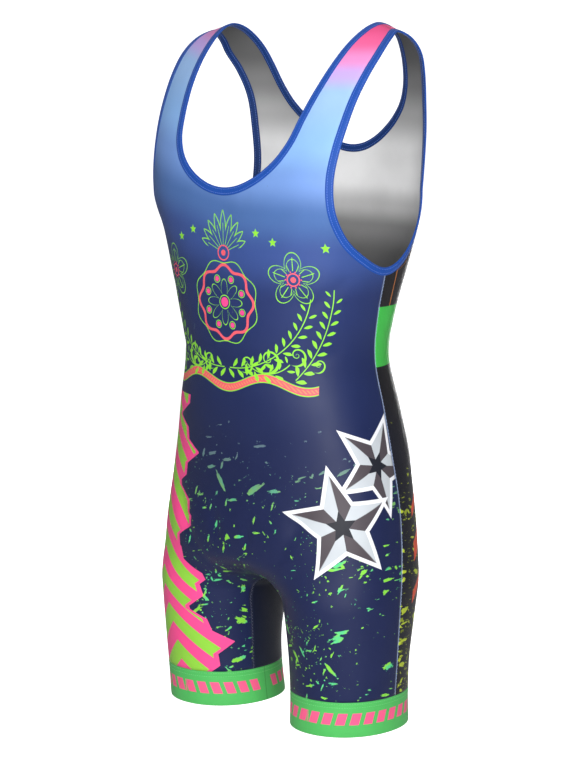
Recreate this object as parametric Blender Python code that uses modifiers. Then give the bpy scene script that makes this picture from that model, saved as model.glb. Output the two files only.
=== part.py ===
"""Athletic singlet for wrestling, filled out as if worn, with no wearer.

The cloth lies on one general figure, whose sizes are the section tables below. Each cut piece is a
grid of points on that figure, given its wall by Solidify: a front, a back, a crotch gusset that runs
from hem to hem, two leg cuffs, and the bindings of the neck and the two armholes.
Metres, +Z up, +X the wearer's left, -Y the front. The origin is where the shoulders carry the straps,
midway between them.
"""

import bpy
import bmesh
import numpy as np

# Cloth and sewing
CLOTH_WALL = 0.0013
BINDING_WALL = 0.0024
CUFF_WALL = 0.0022
SEAM_GAP = 0.0003
BINDING_WIDTH = 0.0100
BINDING_RELIEF = 0.0005
SEAM_MARGIN = 0.002

# Heights of the main lines
CHEST_HEIGHT = -0.200
HEM_HEIGHT = -0.860
CUFF_TOP = -0.815

# The trunk: heights, half width, depth of the front and the back from Y = 0, and how square each is
TRUNK = (
    # height, half_width, front_depth, back_depth, front_squareness, back_squareness
    (-0.200, 0.170, 0.118, 0.124, 3.30, 2.80),
    (-0.255, 0.160, 0.117, 0.125, 2.75, 2.65),
    (-0.300, 0.152, 0.116, 0.114, 2.50, 2.50),
    (-0.345, 0.142, 0.114, 0.104, 2.40, 2.40),
    (-0.400, 0.133, 0.111, 0.102, 2.30, 2.30),
    (-0.465, 0.145, 0.109, 0.116, 2.30, 2.30),
    (-0.520, 0.157, 0.104, 0.126, 2.30, 2.30),
    (-0.570, 0.168, 0.103, 0.124, 2.30, 2.30),
    (-0.625, 0.174, 0.105, 0.118, 2.50, 2.50),
    (-0.680, 0.178, 0.097, 0.105, 2.80, 2.80),
    (-0.740, 0.180, 0.088, 0.092, 2.80, 2.80),
)

# The shoulders: each is an arch from the chest, over a ridge, to the back
RIDGE_X = 0.118
RIDGE_Y = 0.029
RIDGE_LEAN = -0.20
RIDGE_HEIGHT = 0.004
SHOULDER_SLOPE = -0.30
SHOULDER_SPREAD = 0.035
FRONT_ARCH = 1.52
BACK_ARCH = 2.25

# The left thigh: its middle, half width, and depth to the front and the back of that middle
THIGH = (
    # height, middle_x, middle_y, half_width, front_depth, back_depth
    (-0.560, 0.092, 0.000, 0.088, 0.100, 0.115),
    (-0.620, 0.098, 0.000, 0.082, 0.098, 0.108),
    (-0.675, 0.103, -0.003, 0.077, 0.092, 0.101),
    (-0.727, 0.106, -0.005, 0.074, 0.083, 0.088),
    (-0.780, 0.107, -0.006, 0.071, 0.076, 0.078),
    (-0.820, 0.106, -0.004, 0.069, 0.076, 0.077),
    (-0.860, 0.104, -0.001, 0.069, 0.078, 0.078),
)
THIGH_SQUARENESS = 2.1
THIGH_BLEND = 0.030
FORK_TOP = -0.648
FORK_BOTTOM = -0.706

# The side seam's distance behind Y = 0
SIDE_SEAM = (
    # height, y
    (-0.270, 0.006),
    (-0.350, 0.006),
    (-0.400, 0.011),
    (-0.460, 0.015),
    (-0.550, 0.016),
    (-0.640, 0.014),
    (-0.700, 0.006),
    (-0.860, 0.001),
)

# The free edge of the neck binding, from the middle of the front over the shoulder to the back
NECK_EDGE = (
    # x, y, z
    (0.0000, -0.117, -0.1930),
    (0.0200, -0.116, -0.1906),
    (0.0400, -0.115, -0.1832),
    (0.0580, -0.112, -0.1725),
    (0.0735, -0.107, -0.1585),
    (0.0860, -0.099, -0.1390),
    (0.0945, -0.085, -0.1080),
    (0.0990, -0.074, -0.0880),
    (0.1035, -0.060, -0.0670),
    (0.1080, -0.040, -0.0425),
    (0.1115, -0.018, -0.0225),
    (0.1165, 0.007, -0.0020),
    (0.1190, 0.029, 0.0040),
    (0.1150, 0.060, -0.0110),
    (0.1105, 0.078, -0.0280),
    (0.1060, 0.092, -0.0490),
    (0.0995, 0.102, -0.0720),
    (0.0890, 0.109, -0.0930),
    (0.0740, 0.114, -0.1105),
    (0.0560, 0.118, -0.1260),
    (0.0370, 0.121, -0.1385),
    (0.0180, 0.122, -0.1465),
    (0.0000, 0.122, -0.1490),
)

# The free edge of the left armhole binding, from its lowest point up the front and down the back
ARMHOLE_EDGE = (
    # x, y, z
    (0.1550, 0.006, -0.2890),
    (0.1560, -0.036, -0.2730),
    (0.1530, -0.066, -0.2490),
    (0.1500, -0.083, -0.2180),
    (0.1505, -0.087, -0.1820),
    (0.1530, -0.081, -0.1500),
    (0.1560, -0.069, -0.1180),
    (0.1595, -0.054, -0.0850),
    (0.1630, -0.035, -0.0560),
    (0.1645, -0.016, -0.0350),
    (0.1615, 0.006, -0.0170),
    (0.1560, 0.025, -0.0075),
    (0.1610, 0.046, -0.0170),
    (0.1630, 0.059, -0.0330),
    (0.1570, 0.074, -0.0560),
    (0.1500, 0.085, -0.0850),
    (0.1450, 0.090, -0.1300),
    (0.1415, 0.090, -0.1800),
    (0.1440, 0.082, -0.2250),
    (0.1510, 0.056, -0.2640),
)
RIDGE_ROW = 11

# The height on the armhole's edge that runs level with the bottom of the neck
FRONT_NECK_LEVEL = -0.215
BACK_NECK_LEVEL = -0.185

# The crotch gusset: the turn of its front and back seams from its middle
GUSSET_HUB = (0.0, 0.0, -0.585)
GUSSET_TURN_DROP = 0.135
GUSSET_SEAMS = (
    # way from crotch to cuff, degrees to the front, degrees to the back
    (0.00, 22.0, 28.0),
    (0.30, 26.0, 39.0),
    (0.50, 26.0, 47.0),
    (0.70, 20.0, 54.0),
    (1.00, 15.0, 60.0),
)
CROTCH_SIDE_HEIGHT = -0.705
LEG_HUB_TOP = -0.560
LEG_HUB_BOTTOM = -0.700

# The largest folds, each a soft trough on the left side that the right side mirrors
FOLDS = (
    # start_x, start_y, start_z, end_x, end_y, end_z, half_width, depth
    (0.118, -0.098, -0.575, 0.022, -0.060, -0.688, 0.013, 0.0045),
)

# How finely each piece is divided
PANEL_COLUMNS = 10
LEG_ROWS = 9
TRUNK_ROWS = 13
CHEST_ROWS = 5
STRAP_ROWS = 13
GUSSET_COLUMNS = 4
CUFF_COLUMNS = 32
CUFF_ROWS = 2
BINDING_COLUMNS = 2
FINE = 80
RAY_REACH = 0.26
RAY_STEPS = 66
HALVINGS = 24
SETTLE_ROUNDS = 12
SETTLE_SHARE = 0.9
SLOPE_STEP = 2e-4
TINY = 1e-6
EDGE_POINTS = 400

# Colours of the cloth, linear, and how rough it is
CLOTH_ROUGHNESS = 0.55
NAVY = (0.013, 0.020, 0.075, 1.0)
ROYAL = (0.022, 0.110, 0.560, 1.0)
GREEN = (0.090, 0.560, 0.120, 1.0)
CHARCOAL = (0.020, 0.017, 0.016, 1.0)

MIRRORED = np.array([-1.0, 1.0, 1.0])


def smooth_columns(table, places, level_top=False):
    """The columns of a table at places of its first column, on a smooth curve through its rows."""
    rows = np.array(table)
    rows = rows[np.argsort(rows[:, 0])]
    known, values = rows[:, 0], rows[:, 1:]
    slopes = np.gradient(values, known, axis=0)
    if level_top:
        slopes[-1] = 0.0
    below = np.clip(np.searchsorted(known, places) - 1, 0, len(known) - 2)
    gap = (known[below + 1] - known[below])[:, None]
    t = np.clip((places - known[below])[:, None] / gap, 0.0, 1.0)
    return (
        values[below] * (1 + 2 * t) * (1 - t) ** 2
        + slopes[below] * gap * t * (1 - t) ** 2
        + values[below + 1] * t * t * (3 - 2 * t)
        - slopes[below + 1] * gap * t * t * (1 - t)
    )


def smoothstep(t):
    t = np.clip(t, 0.0, 1.0)
    return t * t * (3 - 2 * t)


def chest_reach(x, front, rise):
    """The depth of the chest section at x from the middle, on the front or on the back."""
    section = smooth_columns(TRUNK, np.full(len(x), CHEST_HEIGHT))
    half, front_depth, back_depth, front_square, back_square = section.T
    half = half + SHOULDER_SPREAD * np.minimum(rise, 1.0)
    square = np.where(front, front_square, back_square)
    depth = np.where(front, -front_depth, back_depth)
    return depth * np.clip(1 - (x / half) ** square, 1e-6, 1.0) ** (1 / square)


def trunk_distance(points):
    """About how far points are outside the trunk and shoulders, negative inside."""
    x, y, z = np.abs(points[:, 0]), points[:, 1], points[:, 2]
    section = smooth_columns(TRUNK, np.minimum(z, CHEST_HEIGHT), level_top=True)
    half, front_depth, back_depth, front_square, back_square = section.T
    square = np.where(y < 0, front_square, back_square)
    depth = np.where(y < 0, front_depth, back_depth)
    away = np.abs(y) + TINY
    share = ((x / half) ** square + (away / depth) ** square) ** (1 / square)
    level = np.hypot(x, away) * (1 - 1 / share)
    ridge_y = RIDGE_Y + RIDGE_LEAN * (x - RIDGE_X)
    ridge_z = RIDGE_HEIGHT + SHOULDER_SLOPE * (x - RIDGE_X)
    front = y < ridge_y
    rise = np.maximum(z - CHEST_HEIGHT, 0.0) / (ridge_z - CHEST_HEIGHT)
    span = np.abs(chest_reach(x, front, rise) - ridge_y)
    power = np.where(front, FRONT_ARCH, BACK_ARCH)
    away = np.abs(y - ridge_y) + TINY
    share = ((away / span) ** power + rise**power) ** (1 / power)
    arch = np.hypot(away, z - CHEST_HEIGHT) * (1 - 1 / share)
    return np.where(z > CHEST_HEIGHT, arch, level)


def thigh_distance(points):
    """About how far points are outside the two thighs, negative inside."""
    middle_x, middle_y, half, front_depth, back_depth = smooth_columns(THIGH, points[:, 2]).T
    y = points[:, 1] - middle_y
    depth = np.where(y < 0, front_depth, back_depth)
    away = np.abs(y) + TINY
    both = []
    for side in (-1, 1):
        x = np.abs(points[:, 0]) + side * middle_x
        share = (np.abs(x) / half) ** THIGH_SQUARENESS + (away / depth) ** THIGH_SQUARENESS
        both.append(np.hypot(x, away) * (1 - share ** (-1 / THIGH_SQUARENESS)))
    mix = np.clip(0.5 + 0.5 * (both[1] - both[0]) / THIGH_BLEND, 0.0, 1.0)
    return both[1] * (1 - mix) + both[0] * mix - THIGH_BLEND * mix * (1 - mix)


def fold_depth(points):
    """How far the folds sink the cloth at points."""
    left = np.column_stack([np.abs(points[:, 0]), points[:, 1:]])
    depth = np.zeros(len(points))
    for row in FOLDS:
        start, end, half_width, sunk = np.array(row[0:3]), np.array(row[3:6]), row[6], row[7]
        run = end - start
        share = np.clip((left - start) @ run / (run @ run), 0.0, 1.0)
        away = np.linalg.norm(left - start - share[:, None] * run, axis=1)
        depth += sunk * np.exp(-((away / half_width) ** 2))
    return depth


def figure(points):
    """The figure that fills the cloth: the trunk, changing into the thighs down the fork."""
    legs = smoothstep((FORK_TOP - points[:, 2]) / (FORK_TOP - FORK_BOTTOM))
    bare = (1 - legs) * trunk_distance(points) + legs * thigh_distance(points)
    return bare + fold_depth(points)


def out_from(origins, directions):
    """Where rays that start inside the figure come out of it."""
    directions = directions / np.linalg.norm(directions, axis=1)[:, None]
    steps = np.linspace(0.0, RAY_REACH, RAY_STEPS)
    line = origins[:, None, :] + steps[None, :, None] * directions[:, None, :]
    outside = figure(line.reshape(-1, 3)).reshape(len(origins), RAY_STEPS) > 0
    first = np.argmax(outside[:, 1:], axis=1) + 1
    near, far = steps[first - 1], steps[first]
    for _ in range(HALVINGS):
        middle = (near + far) / 2
        inside = figure(origins + middle[:, None] * directions) < 0
        near, far = np.where(inside, middle, near), np.where(inside, far, middle)
    return origins + near[:, None] * directions


def normals_at(points):
    """The figure's outward normals."""
    steps = SLOPE_STEP * np.eye(3)
    slope = np.stack([figure(points + step) - figure(points - step) for step in steps], axis=1)
    return slope / np.linalg.norm(slope, axis=1)[:, None]


def settle(points):
    """Points near the figure, moved onto it."""
    for _ in range(SETTLE_ROUNDS):
        points = points - SETTLE_SHARE * figure(points)[:, None] * normals_at(points)
    return points


def lengths_along(line):
    """The distance of each point of a line from its start."""
    return np.concatenate([[0], np.cumsum(np.linalg.norm(np.diff(line, axis=0), axis=1))])


def at(line, places):
    """Points of a line at places counted in its points."""
    count = np.arange(len(line))
    return np.stack([np.interp(places, count, line[:, k]) for k in range(3)], axis=1)


def places_by_length(line, distances):
    """The places on a line, counted in its points, that lie at distances along it."""
    return np.interp(distances, lengths_along(line), np.arange(len(line)))


def with_margins(length, count):
    """Distances that divide a length evenly, but for a narrow seam margin at each end."""
    inner = np.linspace(SEAM_MARGIN, length - SEAM_MARGIN, count + 1)
    return np.concatenate([[0.0], inner, [length]])


def spaced(line):
    """A row of a panel again, with its columns evenly along it."""
    return at(line, places_by_length(line, with_margins(lengths_along(line)[-1], PANEL_COLUMNS)))


def closed_edge(rows):
    """A smooth closed line on the figure through the rows of a table."""
    rows = np.array(rows)
    loop = np.concatenate([rows[-3:], rows, rows[:4]])
    along = lengths_along(loop)
    places = np.linspace(along[3], along[3 + len(rows)], 2 * EDGE_POINTS + 1)
    return settle(smooth_columns(np.column_stack([along, loop]), places))


def moved_across(line, distance):
    """An edge moved over the figure, to the right of its own direction as seen from outside."""
    closed = np.allclose(line[0], line[-1])
    tangents = np.gradient(line, axis=0)
    if closed:
        tangents[[0, -1]] = line[1] - line[-2]
    across = np.cross(tangents, normals_at(line))
    return settle(line + distance * across / np.linalg.norm(across, axis=1)[:, None])


def neck_edge():
    """The neck's free edge on the left, from the middle of the front to that of the back."""
    left = np.array(NECK_EDGE)
    return closed_edge(np.concatenate([left, left[-2:0:-1] * MIRRORED]))[: EDGE_POINTS + 1]


def armhole_edge():
    """The left armhole's free edge, and the place on it of the shoulder's ridge."""
    edge = closed_edge(ARMHOLE_EDGE)
    ridge = np.array(ARMHOLE_EDGE[RIDGE_ROW])
    return edge, int(np.argmin(np.linalg.norm(edge - ridge, axis=1)))


def middle_of_leg(heights):
    """Where rows of the panels turn about, by height: the trunk's middle, and lower the thigh's."""
    low = smoothstep((LEG_HUB_TOP - heights) / (LEG_HUB_TOP - LEG_HUB_BOTTOM))
    middle = smooth_columns(THIGH, np.minimum(heights, THIGH[0][0]))
    return np.column_stack([middle[:, 0] * low, middle[:, 1] * low, heights])


def side_seam(heights, shift):
    """Points of the side seam, moved back by shift."""
    y = smooth_columns(SIDE_SEAM, heights)[:, 0] + shift
    start = middle_of_leg(heights)
    start[:, 1] = y
    return out_from(start, np.tile([1.0, 0.0, 0.0], (len(heights), 1)))


def gusset_points(t, turned):
    """Points of the gusset at t from the crotch 0 to the cuff 1, turned from its middle by degrees."""
    turn_bottom = GUSSET_HUB[2] - GUSSET_TURN_DROP
    low = smooth_columns(THIGH, np.array([turn_bottom]))[0]
    path = np.array([GUSSET_HUB, (low[0], low[1], turn_bottom), (low[0], low[1], CUFF_TOP)])
    reach = lengths_along(path)
    share = t * reach[-1]
    hub = np.stack([np.interp(share, reach, path[:, k]) for k in range(3)], axis=1)
    bend = np.radians(90) * smoothstep(share / reach[1])
    down = np.column_stack([-np.sin(bend), 0 * bend, -np.cos(bend)])
    turned = np.radians(turned)[:, None]
    return out_from(hub, down * np.cos(turned) + np.array([0.0, 1.0, 0.0]) * np.sin(turned))


def gusset_places():
    """Places on the gusset from the crotch to the cuff, one for each row, evenly down its middle."""
    t = np.linspace(0, 1, FINE)
    middle = lengths_along(gusset_points(t, 0 * t))
    even = np.linspace(0, middle[-1] - SEAM_MARGIN, LEG_ROWS)
    return np.interp(np.append(even, middle[-1]), middle, t)


def gusset_seam(t, side):
    """The gusset's seam with the front at side -1 or with the back at side 1."""
    angles = smooth_columns(GUSSET_SEAMS, t)
    return gusset_points(t, side * angles[:, 0 if side < 0 else 1])


def moved_seam(t, side, distance):
    """The gusset's seam moved along the figure, away from the gusset's middle."""
    fine = np.linspace(0, 1, EDGE_POINTS)
    line = moved_across(gusset_seam(fine, side), side * distance)
    line[0, 0] = 0.0
    line[-1, 2] = CUFF_TOP
    return at(line, t * (EDGE_POINTS - 1))


def centre_line(side, first, last):
    """The middle of the front or back, from the first point up to the height of the last."""
    hub = np.array(GUSSET_HUB)
    start = np.arctan2(side * first[1], hub[2] - first[2])
    turn = np.linspace(start, np.radians(90), FINE)
    under = out_from(np.tile(hub, (FINE, 1)), np.column_stack([0 * turn, side * np.sin(turn), -np.cos(turn)]))
    heights = np.linspace(hub[2], last[2], FINE)[1:]
    level = out_from(
        np.column_stack([0 * heights, 0 * heights, heights]), np.tile([0.0, side, 0.0], (FINE - 1, 1))
    )
    return np.concatenate([[first], under[1:], level[:-1], [last]])


def level_row(start, end, side):
    """A row of a panel from its inner to its outer edge, round the front or the back."""
    height = np.linspace(start[2], end[2], FINE)
    hubs = middle_of_leg(height)
    ends = np.array([start, end]) - hubs[[0, -1]]
    turn = np.linspace(*np.arctan2(ends[:, 0], side * ends[:, 1]), FINE)
    row = out_from(hubs, np.column_stack([np.sin(turn), side * np.cos(turn), 0 * turn]))
    row[0], row[-1] = start, end
    return spaced(row)


def chest_row(start, end):
    """A row of a panel across the chest or a strap."""
    share = np.linspace(0, 1, FINE)[:, None]
    row = settle(start + share * (end - start))
    row[0], row[-1] = start, end
    return spaced(row)


def strap_places(side):
    """Places of the rows on the neck's edge and on the armhole's edge, from the lowest to the ridge."""
    neck = neck_edge()
    armhole, ridge = armhole_edge()
    top = int(np.argmax(neck[:, 2]))
    rounds = np.arange(0, ridge + 1) if side < 0 else np.arange(2 * EDGE_POINTS, ridge - 1, -1)
    level = FRONT_NECK_LEVEL if side < 0 else BACK_NECK_LEVEL
    climb = armhole[rounds]
    crossing = int(np.argmax(climb[:, 2] > level))
    lengths = lengths_along(climb)
    chest = np.linspace(0, lengths[crossing], CHEST_ROWS + 1)[:-1]
    strap = np.linspace(lengths[crossing], lengths[-1] - SEAM_MARGIN, STRAP_ROWS)
    on_arm = np.interp(np.concatenate([chest, strap, [lengths[-1]]]), lengths, rounds)
    sweep = np.arange(0, top + 1) if side < 0 else np.arange(EDGE_POINTS, top - 1, -1)
    lengths = lengths_along(neck[sweep])
    strap = np.append(np.linspace(0, lengths[-1] - SEAM_MARGIN, STRAP_ROWS), lengths[-1])
    return np.interp(strap, lengths, sweep), on_arm


def sheet(name, grid, wall, colour, round_it=False, mirror=False):
    """A piece of cloth from its rows of points, with its wall on the inside."""
    count, width = len(grid), len(grid[0])
    mesh = bpy.data.meshes.new(name)
    model = bmesh.new()
    points = [[model.verts.new(point) for point in row] for row in grid]
    last = width if round_it else width - 1
    for row, above in zip(points, points[1:]):
        for k in range(last):
            after = (k + 1) % width
            model.faces.new((row[k], row[after], above[after], above[k]))
    model.normal_update()
    middles = np.array([face.calc_center_median() for face in model.faces])
    facing = np.array([face.normal for face in model.faces])
    if np.sum(facing * normals_at(middles)) < 0:
        bmesh.ops.reverse_faces(model, faces=model.faces)
    model.to_mesh(mesh)
    model.free()
    mesh.shade_smooth()
    piece = bpy.data.objects.new(name, mesh)
    if mirror:
        halves = piece.modifiers.new("Mirror", "MIRROR")
        halves.merge_threshold = 0.0001
    shell = piece.modifiers.new("Solidify", "SOLIDIFY")
    shell.thickness = wall
    shell.offset = -1.0
    mesh.materials.append(cloth_material(name, colour))
    garment.objects.link(piece)
    return piece


def cloth_material(name, colour):
    """A plain knit cloth in one colour."""
    material = bpy.data.materials.new(name)
    material.use_nodes = True
    shader = material.node_tree.nodes["Principled BSDF"]
    shader.inputs["Base Color"].default_value = colour
    shader.inputs["Roughness"].default_value = CLOTH_ROUGHNESS
    shader.inputs["Metallic"].default_value = 0.0
    return material


def panel(name, side, colour):
    """The front panel at side -1 or the back panel at side 1, half of it, mirrored."""
    half_gap = SEAM_GAP / 2
    inset = BINDING_WIDTH + half_gap
    neck_places, arm_places = strap_places(side)
    neck = at(moved_across(neck_edge(), inset), neck_places)
    neck[0, 0] = 0.0
    armhole, _ = armhole_edge()
    arms = at(moved_across(armhole, -inset), arm_places)
    neck[-1, 1] += side * half_gap
    arms[-1, 1] += side * half_gap
    arms[0, 1] += side * half_gap
    seams = moved_seam(gusset_places()[::-1], side, half_gap)
    heights = np.linspace(CUFF_TOP + SEAM_MARGIN, CROTCH_SIDE_HEIGHT, LEG_ROWS)
    outer = side_seam(np.insert(heights, 0, CUFF_TOP), side * half_gap)
    rows = [level_row(start, end, side) for start, end in zip(seams, outer)]
    climb = centre_line(side, seams[-1], neck[0])
    steps = np.linspace(0, lengths_along(climb)[-1], TRUNK_ROWS + CHEST_ROWS + 1)
    middle = at(climb, places_by_length(climb, steps))
    heights = np.linspace(CROTCH_SIDE_HEIGHT, arms[0, 2], TRUNK_ROWS + 1)
    outer = side_seam(heights, side * half_gap)
    outer[-1] = arms[0]
    rows += [level_row(start, end, side) for start, end in zip(middle[1 : TRUNK_ROWS + 1], outer[1:])]
    rows += [chest_row(start, end) for start, end in zip(middle[TRUNK_ROWS + 1 :], arms[1:])]
    rows += [chest_row(start, end) for start, end in zip(neck[1:], arms[CHEST_ROWS + 1 :])]
    return sheet(name, rows, CLOTH_WALL, colour, mirror=True)


def crotch_gusset():
    """The strip of the inner thighs, from cuff to cuff, half of it, mirrored."""
    t = gusset_places()
    front = moved_seam(t, -1, -SEAM_GAP / 2)
    back = moved_seam(t, 1, -SEAM_GAP / 2)
    rows = []
    for place, start, end in zip(t, front, back):
        to_front, to_back = smooth_columns(GUSSET_SEAMS, np.array([place]))[0]
        row = gusset_points(np.full(FINE, place), np.linspace(-to_front, to_back, FINE))
        row[0], row[-1] = start, end
        length = lengths_along(row)[-1]
        rows.append(at(row, places_by_length(row, with_margins(length, GUSSET_COLUMNS))))
    for point in rows[0]:
        point[0] = 0.0
    return sheet("crotch_gusset", rows, CLOTH_WALL, NAVY, mirror=True)


def cuffs():
    """The band round each thigh."""
    turn = np.linspace(0, 2 * np.pi, CUFF_COLUMNS, endpoint=False)
    outward = np.column_stack([np.sin(turn), -np.cos(turn), 0 * turn])
    rows = []
    for height in np.linspace(HEM_HEIGHT, CUFF_TOP - SEAM_GAP, CUFF_ROWS + 1):
        rows.append(out_from(middle_of_leg(np.full(CUFF_COLUMNS, height)), outward))
    for name, side in (("left_cuff", np.ones(3)), ("right_cuff", MIRRORED)):
        sheet(name, np.array(rows) * side, CUFF_WALL, GREEN, round_it=True)


def binding_rows(edge, places, towards):
    """Rows of a binding from its free edge to its seam, standing a little proud of the panels."""
    distances = np.linspace(0, BINDING_WIDTH - SEAM_GAP / 2, BINDING_COLUMNS + 1)
    columns = [at(moved_across(edge, towards * distance), places) for distance in distances]
    columns = [column + BINDING_RELIEF * normals_at(column) for column in columns]
    return np.stack(columns, axis=1)


def bindings():
    """The bands round the neck and the two armholes."""
    front_neck, front_arm = strap_places(-1)
    back_neck, back_arm = strap_places(1)
    rows = binding_rows(neck_edge(), np.concatenate([front_neck, back_neck[-2::-1]]), 1)
    rows[0, :, 0] = 0.0
    rows[-1, :, 0] = 0.0
    sheet("neck_binding", rows, BINDING_WALL, ROYAL, mirror=True)
    armhole, _ = armhole_edge()
    rows = binding_rows(armhole, np.concatenate([front_arm, back_arm[-2:0:-1]]), -1)
    rows = rows.transpose(1, 0, 2)
    for name, side in (("left_armhole_binding", np.ones(3)), ("right_armhole_binding", MIRRORED)):
        sheet(name, rows * side, BINDING_WALL, ROYAL, round_it=True)


for old in list(bpy.data.objects):
    bpy.data.objects.remove(old, do_unlink=True)
garment = bpy.data.collections.new("athletic_singlet")
bpy.context.scene.collection.children.link(garment)
panel("front_panel", -1, NAVY)
panel("back_panel", 1, CHARCOAL)
crotch_gusset()
cuffs()
bindings()
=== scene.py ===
"""Looks of the athletic singlet: printed stretch panels, folded bindings, thigh bands and the sewing.

Every piece is a thin shell on the form of its solid. Metres, +Z up, +X the wearer's left, -Y the front.
"""

import bmesh
import bpy
import numpy as np
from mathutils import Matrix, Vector


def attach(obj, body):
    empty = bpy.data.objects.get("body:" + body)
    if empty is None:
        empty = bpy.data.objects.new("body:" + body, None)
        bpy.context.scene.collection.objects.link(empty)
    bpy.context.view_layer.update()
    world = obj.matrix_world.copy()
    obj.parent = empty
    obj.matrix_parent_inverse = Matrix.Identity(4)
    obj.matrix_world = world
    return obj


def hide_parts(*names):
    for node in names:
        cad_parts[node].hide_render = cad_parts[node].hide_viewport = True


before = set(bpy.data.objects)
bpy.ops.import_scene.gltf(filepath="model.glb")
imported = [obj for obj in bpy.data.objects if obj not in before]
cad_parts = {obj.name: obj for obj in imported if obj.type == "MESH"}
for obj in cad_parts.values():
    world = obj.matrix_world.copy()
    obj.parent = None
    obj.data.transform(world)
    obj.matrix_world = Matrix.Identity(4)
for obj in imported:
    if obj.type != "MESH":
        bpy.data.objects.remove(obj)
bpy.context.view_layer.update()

# Front panel
# One piece of smooth stretch knit, from the front straps to the tops of the thigh bands. It is cut
# flat, printed on its face alone, and stretched over the figure, whose sections stand here.

# The trunk: its half width, its depth to the front and the back of Y = 0, and how square each is
TRUNK = (
    # height, half_width, front_depth, back_depth, front_squareness, back_squareness
    (-0.200, 0.170, 0.118, 0.124, 3.30, 2.80),
    (-0.255, 0.160, 0.117, 0.125, 2.75, 2.65),
    (-0.300, 0.152, 0.116, 0.114, 2.50, 2.50),
    (-0.345, 0.142, 0.114, 0.104, 2.40, 2.40),
    (-0.400, 0.133, 0.111, 0.102, 2.30, 2.30),
    (-0.465, 0.145, 0.109, 0.116, 2.30, 2.30),
    (-0.520, 0.157, 0.104, 0.126, 2.30, 2.30),
    (-0.570, 0.168, 0.103, 0.124, 2.30, 2.30),
    (-0.625, 0.174, 0.105, 0.118, 2.50, 2.50),
    (-0.680, 0.178, 0.097, 0.105, 2.80, 2.80),
    (-0.740, 0.180, 0.088, 0.092, 2.80, 2.80),
)
CHEST_HEIGHT = -0.200

# The shoulders: each is an arch from the chest, over a ridge, to the back
RIDGE_X = 0.118
RIDGE_Y = 0.029
RIDGE_LEAN = -0.20
RIDGE_HEIGHT = 0.004
SHOULDER_SLOPE = -0.30
SHOULDER_SPREAD = 0.035
FRONT_ARCH = 1.52
BACK_ARCH = 2.25

# The left thigh: its middle, half width, and depth to the front and the back of that middle
THIGH = (
    # height, middle_x, middle_y, half_width, front_depth, back_depth
    (-0.560, 0.092, 0.000, 0.088, 0.100, 0.115),
    (-0.620, 0.098, 0.000, 0.082, 0.098, 0.108),
    (-0.675, 0.103, -0.003, 0.077, 0.092, 0.101),
    (-0.727, 0.106, -0.005, 0.074, 0.083, 0.088),
    (-0.780, 0.107, -0.006, 0.071, 0.076, 0.078),
    (-0.820, 0.106, -0.004, 0.069, 0.076, 0.077),
    (-0.860, 0.104, -0.001, 0.069, 0.078, 0.078),
)
THIGH_SQUARENESS = 2.1
THIGH_BLEND = 0.030
FORK_TOP = -0.648
FORK_BOTTOM = -0.706
LEG_HUB_TOP = -0.560
LEG_HUB_BOTTOM = -0.700

# The creases that the stretch leaves, each a soft trough
CREASES = (
    # start_x, start_y, start_z, end_x, end_y, end_z, half_width, depth
    (0.118, -0.098, -0.575, 0.022, -0.060, -0.688, 0.0130, 0.0045),
    (-0.118, -0.098, -0.575, -0.022, -0.060, -0.688, 0.0130, 0.0045),
    (0.096, -0.104, -0.618, 0.040, -0.085, -0.676, 0.0080, 0.0020),
    (-0.100, -0.100, -0.606, -0.046, -0.090, -0.664, 0.0070, 0.0019),
    (0.030, -0.112, -0.602, 0.012, -0.080, -0.672, 0.0065, 0.0019),
    (-0.034, -0.112, -0.592, -0.010, -0.078, -0.672, 0.0075, 0.0024),
    (0.128, -0.050, -0.388, 0.080, -0.090, -0.408, 0.0085, 0.0016),
    (-0.130, -0.050, -0.386, -0.098, -0.082, -0.396, 0.0070, 0.0010),
    (0.146, -0.050, -0.300, 0.108, -0.088, -0.336, 0.0090, 0.0016),
    (-0.146, -0.050, -0.306, -0.122, -0.078, -0.322, 0.0070, 0.0008),
    (0.092, 0.092, -0.660, 0.030, 0.066, -0.690, 0.0120, 0.0028),
    (-0.092, 0.092, -0.658, -0.030, 0.066, -0.690, 0.0120, 0.0030),
    (0.100, 0.078, -0.395, 0.040, 0.098, -0.408, 0.0080, 0.0012),
    (-0.104, 0.074, -0.388, -0.052, 0.096, -0.400, 0.0075, 0.0010),
    (0.060, 0.110, -0.372, -0.010, 0.104, -0.382, 0.0070, 0.0008),
)

# The side seam's distance behind Y = 0
SIDE_SEAM = (
    # height, y
    (-0.270, 0.006),
    (-0.350, 0.006),
    (-0.400, 0.011),
    (-0.460, 0.015),
    (-0.550, 0.016),
    (-0.640, 0.014),
    (-0.700, 0.006),
    (-0.860, 0.001),
)

# The free edge of the neck, from the middle of the front over the shoulder to the back
NECK_EDGE = (
    # x, y, z
    (0.0000, -0.117, -0.1930),
    (0.0200, -0.116, -0.1906),
    (0.0400, -0.115, -0.1832),
    (0.0580, -0.112, -0.1725),
    (0.0735, -0.107, -0.1585),
    (0.0860, -0.099, -0.1390),
    (0.0945, -0.085, -0.1080),
    (0.0990, -0.074, -0.0880),
    (0.1035, -0.060, -0.0670),
    (0.1080, -0.040, -0.0425),
    (0.1115, -0.018, -0.0225),
    (0.1165, 0.007, -0.0020),
    (0.1190, 0.029, 0.0040),
    (0.1150, 0.060, -0.0110),
    (0.1105, 0.078, -0.0280),
    (0.1060, 0.092, -0.0490),
    (0.0995, 0.102, -0.0720),
    (0.0890, 0.109, -0.0930),
    (0.0740, 0.114, -0.1105),
    (0.0560, 0.118, -0.1260),
    (0.0370, 0.121, -0.1385),
    (0.0180, 0.122, -0.1465),
    (0.0000, 0.122, -0.1490),
)

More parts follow.
